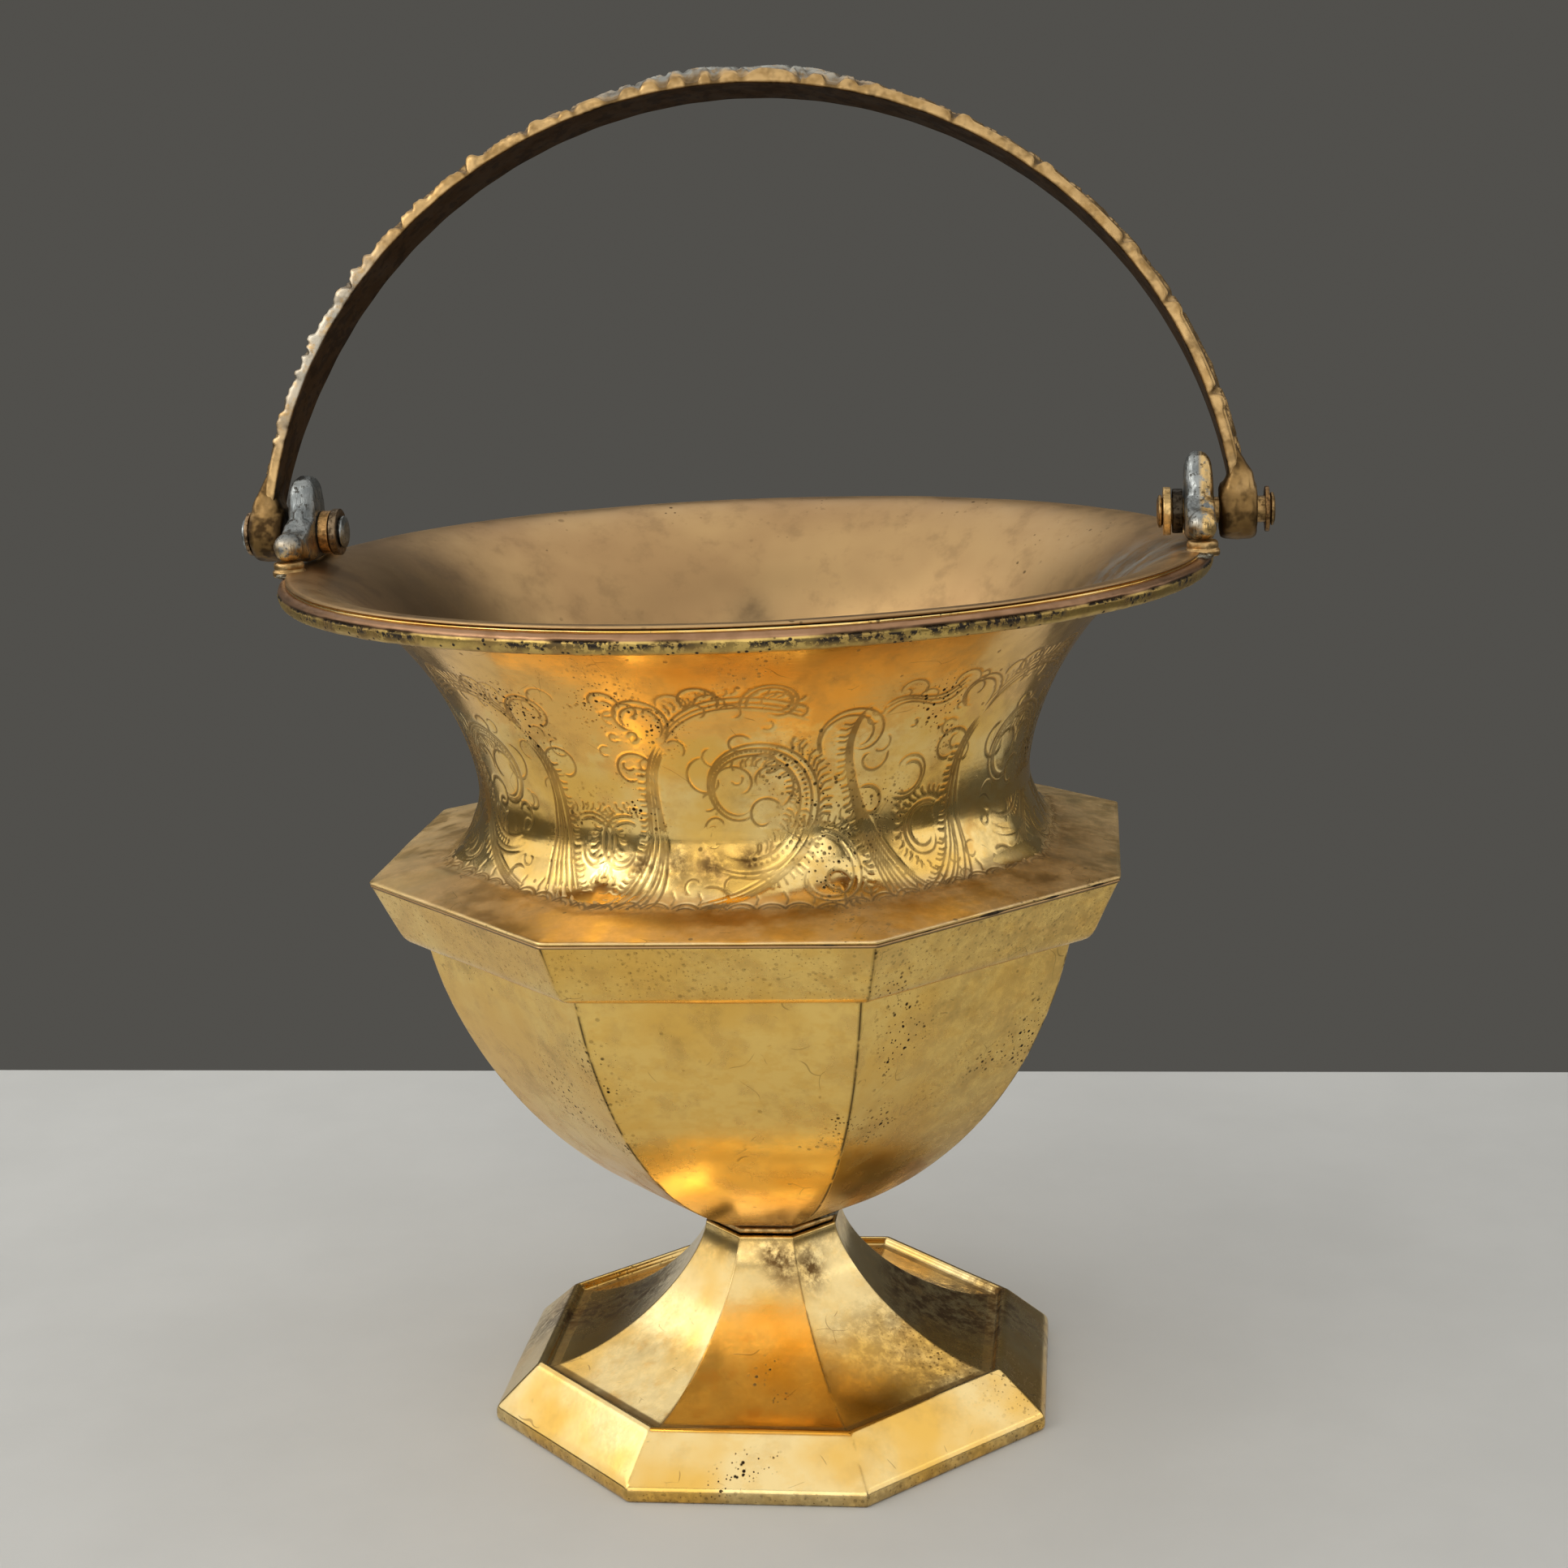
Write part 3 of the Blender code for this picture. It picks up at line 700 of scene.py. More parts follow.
def gilt_brass(name, shift, tarnish, pits, gloss, pale, mottling):
    """Polished gilt over brass: mottled gold, brown tarnish, pits, scratches and dark grooves.

    Vertex fields: groove (engraved lines, and painted shade in the groove behind the foot's crest),
    stain (local tarnish, and painted shade on the right side), pitted (pit clusters),
    ridge (panel edges), amber (deeper gold) and dull (satin patina).
    """
    s = Shader(name, shift)
    large = s.noise(34, 3.0)
    medium = s.noise(7, 4.0, 0.6, shift=0.11)
    mottle = s.noise(3.2, 4.0, 0.65, stretch=(1.6, 1.6, 1.0), shift=0.47)
    fine = s.noise(1.1, 3.0, 0.6, shift=0.23)
    colour = s.mix(s.ramp(large, 0.40, 0.62), pale, DEEP_GOLD)
    colour = s.mix(s.times(s.ramp(mottle, 0.47, 0.62), 0.5 * mottling), colour, DEEP_GOLD)
    uneven_amber = s.times(s.ramp(medium, 0.3, 0.7), 0.45)
    amber = s.ramp(s.plus(s.times(s.field("amber"), 0.85), uneven_amber), 0.50, 0.72)
    colour = s.mix(amber, colour, AMBER_GOLD)
    dull = s.times(s.ramp(medium, 0.46, 0.66), 0.45 * mottling)
    colour = s.mix(dull, colour, DULL_GOLD)

    streaks = s.noise(4, 4.0, 0.65, stretch=(3, 3, 1), shift=0.15)
    satin = s.times(s.field("dull"), s.ramp(streaks, 0.35, 0.58, 0.45, 1.0))
    colour = s.mix(satin, colour, TAN)
    clouds = s.ramp(s.noise(16, 5.0, 0.68, shift=0.41), 0.52, 0.74)
    stain = s.field("stain")
    broken = s.ramp(s.noise(2.6, 4.0, 0.7, shift=0.57), 0.28, 0.62)
    brown = s.plus(s.times(clouds, tarnish), s.times(stain, broken))
    colour = s.mix(brown, colour, BROWN)

    clusters = s.ramp(s.noise(26, 2.0, shift=0.71), 0.66 - 0.2 * pits, 0.72)
    cluster = s.plus(clusters, s.field("pitted"))
    holes = s.plus(
        pit_mask(s, 1.5, 0.55, cluster),
        pit_mask(s, 0.8, 0.45, cluster, 0.9),
        pit_mask(s, 1.8, 0.035, pits, 0.37),
    )
    scratches = s.plus(scratch_mask(s, 15, 0.13, 0.42), scratch_mask(s, 8, 0.1, 0.34, 0.5))
    groove = s.ramp(s.field("groove"), 0.12, 0.62)
    ridge = s.times(s.field("ridge"), s.ramp(s.noise(5, 3.0, shift=0.2), 0.36, 0.5))
    line = s.times(groove, s.ramp(s.noise(9, 3.0, shift=0.33), 0.30, 0.58, 0.55, 1.0))
    dark = s.plus(holes, s.times(ridge, 0.9))
    colour = s.mix(s.times(line, 0.66), colour, LINE_BROWN)
    colour = s.mix(dark, colour, NEAR_BLACK)
    colour = s.mix(s.times(scratches, 0.45), colour, BROWN)

    uneven = s.ramp(medium, 0.35, 0.7, 0.0, 0.11 * mottling)
    soiled = s.plus(s.times(brown, 0.24), uneven, s.times(dark, 0.4), s.times(line, 0.25))
    roughness = s.plus(soiled, s.times(satin, 0.30), gloss)
    height = s.maths("SUBTRACT", s.times(fine, 0.25), s.plus(holes, s.times(scratches, 0.5)))
    waves = s.bump(s.noise(5, 2.0, shift=0.9), 0.05 * MM, 0.5)
    normal = s.bump(height, 0.07 * MM, 0.6, after=waves)
    return s.finish(colour, roughness, 1.0, normal)


def satin_brass(name):
    """The unpolished inside: satin tan-bronze with fine turning lines and a few dark specks."""
    s = Shader(name)
    large = s.noise(40, 3.0, shift=0.6)
    medium = s.noise(9, 4.0, 0.65, shift=0.2)
    lines = s.noise(1.3, 3.0, 0.6, stretch=(14, 14, 0.7), shift=0.8)
    colour = s.mix(s.ramp(large, 0.38, 0.64), (0.52, 0.335, 0.15), (0.43, 0.265, 0.12))
    colour = s.mix(s.times(s.ramp(medium, 0.5, 0.72), 0.45), colour, (0.30, 0.19, 0.09))
    # Painted shade from the vertex field: darker deeper inside and on the left, with a few stains.
    stain = s.times(s.field("stain"), s.ramp(medium, 0.2, 0.7, 0.5, 1.0))
    colour = s.mix(stain, colour, (0.105, 0.073, 0.042))
    cluster = s.ramp(s.noise(30, 2.0, shift=0.5), 0.48, 0.66)
    holes = s.plus(
        pit_mask(s, 1.9, 0.10, cluster, 0.3),
        pit_mask(s, 1.1, 0.09, cluster, 0.7),
        pit_mask(s, 3.2, 0.05, cluster, 0.1),
    )
    smudge = s.ramp(s.noise(2.6, 5.0, 0.72, shift=0.9), 0.66, 0.76)
    colour = s.mix(s.plus(s.times(holes, 0.85), s.times(smudge, 0.45)), colour, (0.06, 0.04, 0.022))
    silver = s.times(s.field("silver"), s.ramp(s.noise(3, 3.0, shift=0.1), 0.35, 0.6))
    colour = s.mix(silver, colour, (0.46, 0.46, 0.42))
    roughness = s.plus(0.33, s.ramp(medium, 0.3, 0.7, 0.0, 0.12), s.times(holes, 0.3))
    normal = s.bump(s.plus(s.times(lines, 0.6), s.times(medium, 0.4)), 0.05 * MM, 0.5)
    return s.finish(colour, roughness, 1.0, normal)


def bead_brass(name):
    """The rim's wire: copper-rose where it is rubbed, yellow and pitted below."""
    s = Shader(name)
    medium = s.noise(8, 4.0, 0.6, shift=0.4)
    fine = s.noise(0.9, 3.0, 0.6, shift=0.7)
    colour = s.mix(s.field("under"), (0.37, 0.21, 0.115), (0.66, 0.46, 0.14))
    colour = s.mix(s.times(s.ramp(medium, 0.45, 0.7), 0.6), colour, (0.23, 0.125, 0.058))
    pitted = s.times(s.field("pitted"), s.ramp(s.noise(1.6, 4.0, 0.7, shift=0.9), 0.44, 0.52))
    holes = s.plus(pitted, pit_mask(s, 1.3, 0.35, s.field("under"), 0.2))
    colour = s.mix(s.plus(holes, s.field("groove")), colour, NEAR_BLACK)
    roughness = s.plus(0.30, s.ramp(medium, 0.35, 0.7, 0.0, 0.14), s.times(holes, 0.4))
    metallic = s.ramp(holes, 0.3, 0.9, 1.0, 0.4)
    normal = s.bump(s.maths("SUBTRACT", s.plus(s.times(fine, 0.3), 0.5), holes), 0.10 * MM, 0.7)
    return s.finish(colour, roughness, metallic, normal)


def cast_brass(name, shift=0.0):
    """Cast brass: rubbed gold on the high spots, brown to black in the recesses.

    Vertex fields: groove (recesses), wear (rubbed edges; on the eyes it also carries painted
    light), stain (tarnish, and painted shade on the strap's inner face and the eyes) and
    silver (grey plate).
    """
    s = Shader(name, shift)
    medium = s.noise(6, 4.0, 0.6)
    fine = s.noise(1.1, 1.5, 0.5, shift=0.3)
    colour = s.mix(s.ramp(medium, 0.38, 0.64), (0.36, 0.215, 0.075), (0.25, 0.145, 0.05))
    rubbed = s.ramp(s.noise(3.2, 2.0, 0.6, shift=0.4), 0.34, 0.60, 0.25, 1.0)
    rub = s.times(s.field("wear"), rubbed)
    colour = s.mix(rub, colour, (0.62, 0.41, 0.18))
    silver = s.times(s.field("silver"), s.ramp(s.noise(2.2, 4.0, 0.7, shift=0.6), 0.3, 0.55))
    colour = s.mix(silver, colour, (0.44, 0.45, 0.41))
    patches = s.ramp(s.noise(3.6, 2.5, 0.65, shift=0.8), 0.48, 0.68)
    dim = s.plus(s.times(patches, 0.45), s.field("stain"))
    colour = s.mix(dim, colour, (0.052, 0.030, 0.012))
    colour = s.mix(s.field("groove"), colour, NEAR_BLACK)
    dark = s.plus(s.field("groove"), s.times(dim, 0.5))
    roughness = s.plus(0.30, s.ramp(medium, 0.3, 0.7, 0.0, 0.12), s.times(dark, 0.28))
    metallic = s.ramp(s.field("groove"), 0.3, 1.0, 1.0, 0.4)
    normal = s.bump(s.plus(s.times(fine, 0.6), s.times(medium, 0.4)), 0.05 * MM, 0.5)
    return s.finish(colour, roughness, metallic, normal)


def worn_plate(name, shift, grey=(0.37, 0.39, 0.38)):
    """Silver-grey plate with file marks, brass showing where it has worn through."""
    s = Shader(name, shift)
    medium = s.noise(4, 4.0, 0.6)
    files = s.noise(0.55, 2.0, 0.5, stretch=(0.5, 1.0, 7.0), shift=0.4)
    colour = s.mix(s.ramp(medium, 0.36, 0.62), grey, (0.19, 0.205, 0.205))
    brass = s.times(s.field("wear"), s.ramp(s.noise(2.4, 4.0, 0.65, shift=0.2), 0.36, 0.5))
    colour = s.mix(brass, colour, (0.74, 0.50, 0.20))
    specks = s.ramp(s.noise(1.1, 4.0, 0.7, shift=0.7), 0.55, 0.64)
    dim = s.plus(s.times(specks, 0.75), s.field("groove"), s.field("stain"))
    colour = s.mix(dim, colour, (0.04, 0.032, 0.022))
    roughness = s.plus(0.30, s.ramp(files, 0.4, 0.6, 0.0, 0.14), s.times(dim, 0.25))
    normal = s.bump(s.plus(s.times(files, 0.7), s.times(medium, 0.3)), 0.16 * MM, 0.8)
    return s.finish(colour, roughness, 1.0, normal)


def tarnished_brass(name, shift, shade, dark):
    """Dull turned brass with dark dirt in it."""
    s = Shader(name, shift)
    medium = s.noise(2.6, 4.0, 0.65)
    fine = s.noise(0.5, 3.0, 0.6, shift=0.3)
    bright = tuple(min(1.0, part * 1.7) for part in shade)
    colour = s.mix(s.ramp(medium, 0.42, 0.62), bright, shade)
    dirt = s.times(s.ramp(s.noise(1.2, 4.0, 0.7, shift=0.6), 0.46, 0.62), dark)
    colour = s.mix(dirt, colour, NEAR_BLACK)
    roughness = s.plus(0.30, s.times(dirt, 0.4), s.ramp(fine, 0.3, 0.7, 0.0, 0.12))
    normal = s.bump(s.plus(s.times(fine, 0.6), s.times(medium, 0.4)), 0.07 * MM, 0.7)
    return s.finish(colour, roughness, 1.0, normal)


def old_solder(name, dark, light=(0.26, 0.25, 0.20)):
    """Dull grey tin, dark where dirt has settled."""
    s = Shader(name)
    medium = s.noise(3, 4.0, 0.65, shift=0.5)
    fine = s.noise(0.6, 3.0, 0.6, shift=0.1)
    colour = s.mix(s.ramp(medium, 0.4, 0.6), light, (0.10, 0.075, 0.04))
    colour = s.mix(s.times(s.ramp(fine, 0.42, 0.62), dark), colour, NEAR_BLACK)
    roughness = s.ramp(medium, 0.3, 0.7, 0.45, 0.7)
    normal = s.bump(s.plus(s.times(fine, 0.5), s.times(medium, 0.5)), 0.15 * MM, 0.8)
    return s.finish(colour, roughness, 0.85, normal)


def pale_floor():
    s = Shader("pale_floor")
    tone = s.noise(60, 5.0, 0.6)
    colour = s.mix(s.ramp(tone, 0.3, 0.7), (0.56, 0.565, 0.55), (0.53, 0.535, 0.52))
    return s.finish(colour, 0.75, 0.0)


# Sheet-metal pieces


def unevenness(points, size, amount, seed):
    """Gentle waves in pressed sheet metal."""
    return layered_noise(points, size, seed, 2) * amount


# Where the tarnish, pits and smears are, and the painted shade inside: angle in degrees,
# height and reach in millimetres
FOOT_MARKS = ((-75, 34, 4), (-58, 33, 4), (-84, 36, 3), (172, 14, 12), (12, 14, 13))
FOOT_PITS = ((-90, 7, 1.3), (150, 11, 16), (-20, 11, 9))
BOWL_PITS = ((-114, 99, 5), (-112.5, 92, 4), (-116, 78, 4), (-128, 86, 6))
BOWL_FEWER_PITS = ((-125, 95, 6), (-60, 100, 5), (-40, 92, 5), (-48, 84, 4))
BAND_CORNER_DIRT = ((-67.5, 127.5, 3.5), (-112.5, 128, 2))
NECK_STAINS = ((-104, 138, 4), (-97, 139, 4), (-91, 139, 4), (-84, 140, 3))
NECK_PITS = (
    (-70, 152, 8), (-66, 143, 8), (-76, 158, 6), (-58, 148, 6), (-106, 173, 7), (-98, 168, 5),
)
# Inside: the two places on the left are painted shade, and the small one at the back is tarnish.
INSIDE_SHADE_AND_STAINS = ((168, 182, 26), (160, 183, 14), (97, 168, 5))
INSIDE_SMEARS = ((2, 187, 8), (11, 184, 6), (-7, 189, 7))


def spots(points, places):
    """A field that is 1 at each (angle, height, reach) place on the outside, fading round it."""
    field = np.zeros(points.shape[:2])
    angles = np.arctan2(points[..., 1], points[..., 0])
    radius = np.hypot(points[..., 0], points[..., 1])
    for angle, height, reach in places:
        around = (angles - radians(angle) + pi) % (2 * pi) - pi
        distance = np.hypot(around * radius, points[..., 2] - height * MM) / (reach * MM)
        field = np.maximum(field, np.exp(-(distance**2)))
    return field


def foot_outline():
    """From the stem's top down the outside, round the hem and back up the inside."""
    flare = sweep_curve(WELL_RADIUS, STEM_RADIUS, STEM_TOP, WELL_HEIGHT, STEM_SWEEP, 30)
    border = [
        (WELL_RADIUS + 0.7 * MM, WELL_HEIGHT + 0.1 * MM),
        (CREST_RADIUS - 1.3 * MM, CREST_HEIGHT - 0.3 * MM),
        (CREST_RADIUS - 0.4 * MM, CREST_HEIGHT),
        (CREST_RADIUS + 0.6 * MM, CREST_HEIGHT - 0.4 * MM),
        (FOOT_RADIUS - 1.2 * MM, FOOT_SKIRT + 0.8 * MM),
        (FOOT_RADIUS - 0.5 * MM, FOOT_SKIRT + 0.1 * MM),
        (FOOT_RADIUS - 0.1 * MM, FOOT_SKIRT - 0.7 * MM),
        (FOOT_RADIUS, 1.4 * MM),
        (FOOT_RADIUS - 0.2 * MM, 0.4 * MM),
        (FOOT_RADIUS - 0.8 * MM, 0.0),
    ]
    hem = [
        (FOOT_RADIUS - HEM_WIDTH, 0.0),
        (FOOT_RADIUS - HEM_WIDTH, FOOT_WALL),
        (FOOT_RADIUS - FOOT_WALL - 0.4 * MM, FOOT_WALL),
        (FOOT_RADIUS - FOOT_WALL - 0.7 * MM, FOOT_SKIRT - 0.9 * MM),
        (CREST_RADIUS - 0.6 * MM, CREST_HEIGHT - 1.7 * MM),
    ]
    low = WELL_HEIGHT - FOOT_WALL
    well, stem = WELL_RADIUS - 0.5 * MM, STEM_RADIUS - FOOT_WALL
    inside = sweep_curve(well, stem, STEM_TOP, low, STEM_SWEEP, 20)
    return flare + border, hem + inside[::-1]


def off_ridges(angles, radius):
    """Distance from the nearest ridge of an octagon, round a circle of the given radius."""
    return np.abs(angles % (2 * CORNER) - CORNER)[None] * radius


def make_foot(material):
    outer, inner = foot_outline()
    outer = even_points(round_corners(outer, 0.35 * MM), 0.6 * MM)
    inner = even_points(inner, 2.0 * MM)
    outline = np.vstack([outer, inner])[::-1]
    angles = octagon_angles(40)
    points = ring_grid(outline, angles)
    normal = grid_normals(points, closed_rows=True)
    lift = unevenness(points, 22 * MM, 0.10 * MM, 21)
    grounded = smooth_step(points[..., 2], 0.0, 2.0 * MM)
    points = points + normal * (lift * grounded)[..., None]

    radius = np.broadcast_to(outline[:, :1], points.shape[:2])
    height = points[..., 2]
    shell = np.broadcast_to((np.arange(len(outline)) >= len(inner))[:, None], radius.shape)
    on_border = radius > CREST_RADIUS - 0.6 * MM
    beyond_crest = radius > CREST_RADIUS
    ridge = hump(off_ridges(angles, radius), 0, 0.26 * MM) * np.where(on_border, 0.3, 0.45)
    # Painted shade: a dark line in the groove behind the crest, where the well meets the border.
    step = hump(radius, WELL_RADIUS - 0.9 * MM, 1.1 * MM)
    skirt = smooth_step(height, FOOT_SKIRT - 0.2 * MM, FOOT_SKIRT - 1.2 * MM) * beyond_crest
    hem_line = hump(height, FOOT_SKIRT - 0.5 * MM, 0.30 * MM) * on_border
    stem_top = smooth_step(height, 30 * MM, 40 * MM)
    low_part = smooth_step(height, 27 * MM, 20 * MM) * (radius < CREST_RADIUS)
    # The lower flare is darker all round, and darker again on the right side, a painted shade.
    well = low_part * (0.14 + 0.36 * painted_shade_right(angles))
    marks = spots(points, FOOT_MARKS)
    amber = smooth_step(height, 27 * MM, 22 * MM) * (radius < WELL_RADIUS)
    tarnish = np.clip(stem_top * 0.35 + marks + skirt * 0.45 + well, 0, 1)
    fields = {
        "ridge": ridge * shell,
        "groove": np.clip(step * 0.9 + hem_line * 0.20, 0, 1) * shell,
        "stain": np.where(shell, tarnish, 0.8),
        "amber": amber * 0.2 * shell,
        "pitted": spots(points, FOOT_PITS) * 0.7 + skirt * 0.4,
    }
    piece = mesh_piece("gilt_foot", points, material, fields, closed=True)
    return stand_for(piece, "basket", "gilt_brass", "foot_shell")


def pan_curve(steps):
    """The pan's outline from its floor to its top: one arc through both."""
    chord = Vector((PAN_RADIUS - BOWL_FLOOR_RADIUS, PAN_TOP - BOWL_FLOOR))
    bend_radius = chord.length / (2 * sin(PAN_BEND / 2))
    start = atan2(chord.y, chord.x) - PAN_BEND / 2
    slope = start + PAN_BEND * np.linspace(0, 1, steps)
    radius = BOWL_FLOOR_RADIUS + bend_radius * (np.sin(slope) - sin(start))
    height = BOWL_FLOOR + bend_radius * (cos(start) - np.cos(slope))
    return list(zip(radius, height))


def make_bowl(material):
    outside = pan_curve(60)
    band = [
        (PAN_RADIUS + 0.4 * MM, PAN_TOP + 0.6 * MM),
        (BAND_FOOT_RADIUS - 2.4 * MM, BAND_FOOT_HEIGHT - 2.0 * MM),
        (BAND_FOOT_RADIUS - 0.9 * MM, BAND_FOOT_HEIGHT - 1.1 * MM),
        (BAND_FOOT_RADIUS, BAND_FOOT_HEIGHT + 0.2 * MM),
        (BAND_RADIUS, BAND_TOP),
    ]
    outer = even_points(round_corners(outside + band, 0.5 * MM), 0.8 * MM)
    inner = even_points(
        [
            (BAND_RADIUS - WALL, BAND_TOP),
            (BAND_FOOT_RADIUS - WALL, BAND_FOOT_HEIGHT + 0.6 * MM),
            (PAN_RADIUS - 0.9 * MM, PAN_TOP + 1.7 * MM),
        ]
        + [tuple(level[:2]) for level in inner_offset(np.array(outside), WALL)[::-1]],
        1.6 * MM,
    )
    outline = np.vstack([outer, inner])
    angles = octagon_angles(44)
    points = ring_grid(outline, angles)
    normal = grid_normals(points)
    lift = unevenness(points, 26 * MM, 0.16 * MM, 5) + unevenness(points, 9 * MM, 0.03 * MM, 9)
    points = points + normal * lift[..., None]

    is_outer = (np.arange(len(outline)) < len(outer))[:, None]
    height = np.broadcast_to(outline[:, 1:2], points.shape[:2])
    ridge = hump(off_ridges(angles, outline[:, :1]), 0, 0.30 * MM) * is_outer
    step = hump(height, PAN_TOP + 0.5 * MM, 0.35 * MM) * is_outer
    on_band = smooth_step(height, PAN_TOP, PAN_TOP + 4 * MM)
    # Darker towards the bowl's bottom.
    darker_bottom = smooth_step(height, 52 * MM, 44 * MM) * 0.35
    pitting = spots(points, BOWL_PITS) + spots(points, BOWL_FEWER_PITS) * 0.3 + on_band * 0.28
    ridge_dirt = np.where(height > PAN_TOP, 0.55, 1.0) + spots(points, BAND_CORNER_DIRT)
    top_line = smooth_step(height, BAND_TOP - 0.9 * MM, BAND_TOP) * near_angle(angles, -50, 50)
    fields = {
        "ridge": np.clip(ridge * ridge_dirt, 0, 1),
        "groove": np.clip(step * 0.6 + top_line * is_outer * 0.8, 0, 1),
        # Painted shade: the outside is darker on its right side, which gets less light.
        "stain": np.where(is_outer, darker_bottom + on_band * 0.10 + painted_shade_right(angles) * 0.24, 0.5),
        "amber": smooth_step(height, 72 * MM, 52 * MM) * is_outer * 0.8,
        "dull": ~is_outer,
        "pitted": pitting,
    }
    piece = mesh_piece("gilt_bowl", points, material, fields, caps=True)
    return stand_for(piece, "basket", "gilt_brass", "lower_bowl")


def neck_outline():
    """Deck, neck and flare as (radius, height, roundness), from the shoulder upwards."""
    steps = 24
    turn = pi / 2 * np.arange(1, steps) / steps
    radius = DECK_RADIUS - (DECK_RADIUS - WAIST_RADIUS) * np.sin(turn)
    height = WAIST_HEIGHT - (WAIST_HEIGHT - DECK_HEIGHT) * np.cos(turn)
    roundness = np.minimum(1.0, np.sin(turn) * 1.15)
    root = list(zip(radius, height, roundness))
    flare = sweep_curve(MOUTH_RADIUS, WAIST_RADIUS, WAIST_HEIGHT, MOUTH_HEIGHT, MOUTH_SWEEP, 60)
    deck = [(SHOULDER_RADIUS, SHOULDER_HEIGHT, 0.0), (DECK_RADIUS, DECK_HEIGHT, 0.0)]
    under_bead = [(BEAD_RADIUS - 0.3 * MM, MOUTH_HEIGHT - 0.1 * MM, 1.0)]
    return deck, root + [(r, h, 1.0) for r, h in flare] + under_bead


def backed(points, base, inward, depth):
    """Closes an open sheet with a smooth back, the given depth behind it."""
    picks = np.linspace(len(points) - 1, 0, BACK_ROWS).round().astype(int)
    return np.concatenate([points, base[picks] - inward[picks] * depth])


def padded_fields(fields, rows):
    """Extends fields with zeros over a sheet's added back rows."""
    return {
        name: np.concatenate([value, np.zeros((rows - len(value), value.shape[1]))])
        for name, value in fields.items()
    }


def make_neck(gilt, satin):
    deck, neck = neck_outline()
    deck = even_points(deck, 1.0 * MM)
    neck = even_points(neck, NECK_ROW)
    outline = np.vstack([deck, neck])
    angles = CORNER + 2 * pi * np.arange(NECK_COLUMNS) / NECK_COLUMNS
    base = ring_grid(outline, angles, 300)
    normal = grid_normals(base)
    engraved = np.zeros(base.shape[:2])
    engraved[len(deck) :] = engrave_neck(len(neck), NECK_ROW)
    lift = unevenness(base, 30 * MM, 0.18 * MM, 31) + unevenness(base, 8 * MM, 0.04 * MM, 37)
    points = base + normal * (lift - LINE_DEPTH * engraved)[..., None]

    height = points[..., 2]
    on_deck = smooth_step(height, DECK_HEIGHT + 4 * MM, DECK_HEIGHT)
    crease = hump(height, DECK_HEIGHT + 0.6 * MM, 0.5 * MM) * 0.35
    # The deck is darker all round, and darker again on the right side, a painted shade.
    tarnish = on_deck * (0.14 + 0.22 * painted_shade_right(angles)) + spots(points, NECK_STAINS) + crease
    high_amber = smooth_step(height, 158 * MM, 176 * MM)
    patches = smooth_step(layered_noise(points, 26 * MM, 43, 3), -0.1, 0.9) * 0.75
    fields = {
        "groove": np.clip(engraved, 0, 1),
        "stain": np.clip(tarnish, 0, 1),
        "dull": on_deck,
        "amber": np.clip(high_amber + patches, 0, 1) * (1 - on_deck),
        "pitted": spots(points, NECK_PITS),
    }
    points = backed(points, base, normal, 0.5 * MM)
    fields = padded_fields(fields, len(points))
    piece = mesh_piece("engraved_body", points, gilt, fields, closed=True)
    stand_for(piece, "basket", "gilt_brass", "upper_body")

    lining = inner_offset(even_points(outline, 1.2 * MM), WALL)[::-1]
    base = ring_grid(lining, octagon_angles(40))
    inward = grid_normals(base)
    inside = base + inward * unevenness(base, 30 * MM, 0.12 * MM, 33)[..., None]
    # Painted shade: the lining is darker deeper down, and in two broad places on the left.
    shade = smooth_step(inside[..., 2], 150 * MM, 128 * MM) * 0.8
    fields = {
        "stain": np.clip(shade + spots(inside, INSIDE_SHADE_AND_STAINS) * 0.7, 0, 1),
        "silver": spots(inside, INSIDE_SMEARS) * 0.8,
    }
    inside = backed(inside, base, inward, 0.4 * MM)
    fields = padded_fields(fields, len(inside))
    inner = mesh_piece("satin_lining", inside, satin, fields, closed=True)
    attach(inner, "basket")


def make_bead(material):
    """The wire round the mouth, with the sheet's rolled edge as a pitted line above its middle."""
    around = 2 * pi * np.arange(BEAD_COLUMNS) / BEAD_COLUMNS
    section = 2 * pi * np.arange(BEAD_ROWS)[:, None] / BEAD_ROWS
    shape = (BEAD_ROWS, BEAD_COLUMNS)
    line = hump((section - SEAM_TURN + pi) % (2 * pi), pi, SEAM_REACH)
    place = np.empty((*shape, 3))
    place[..., 0] = BEAD_RADIUS * np.cos(around)
    place[..., 1] = BEAD_RADIUS * np.sin(around)
    place[..., 2] = section * BEAD_WIRE
    patchy = smooth_step(layered_noise(place, 9 * MM, 51), -0.35, 0.35)
    rough = layered_noise(place, 2.2 * MM, 53, 2)
    wire = BEAD_WIRE - SEAM_DEPTH * line * (0.4 + 0.6 * patchy) + 0.05 * MM * rough
    rolled_edge = 1 + 0.5 * smooth_step(-np.sin(section), 0.0, 0.7)
    radius = BEAD_RADIUS + wire * np.cos(section)
    height = BEAD_HEIGHT + wire * rolled_edge * np.sin(section)
    points = np.stack([radius * np.cos(around), radius * np.sin(around), height], axis=-1)
    pitting = np.exp(-((np.sin(section) + 0.25) ** 2) / 0.14) * (0.15 + patchy)
    fields = {
        "groove": np.clip(line * patchy, 0, 1),
        "under": smooth_step(np.sin(section), 0.24, 0.14),
        "pitted": np.clip(pitting, 0, 1),
    }
    piece = mesh_piece("rolled_rim", points, material, fields, closed=True)
    return stand_for(piece, "basket", "rim_brass", "rim_bead")


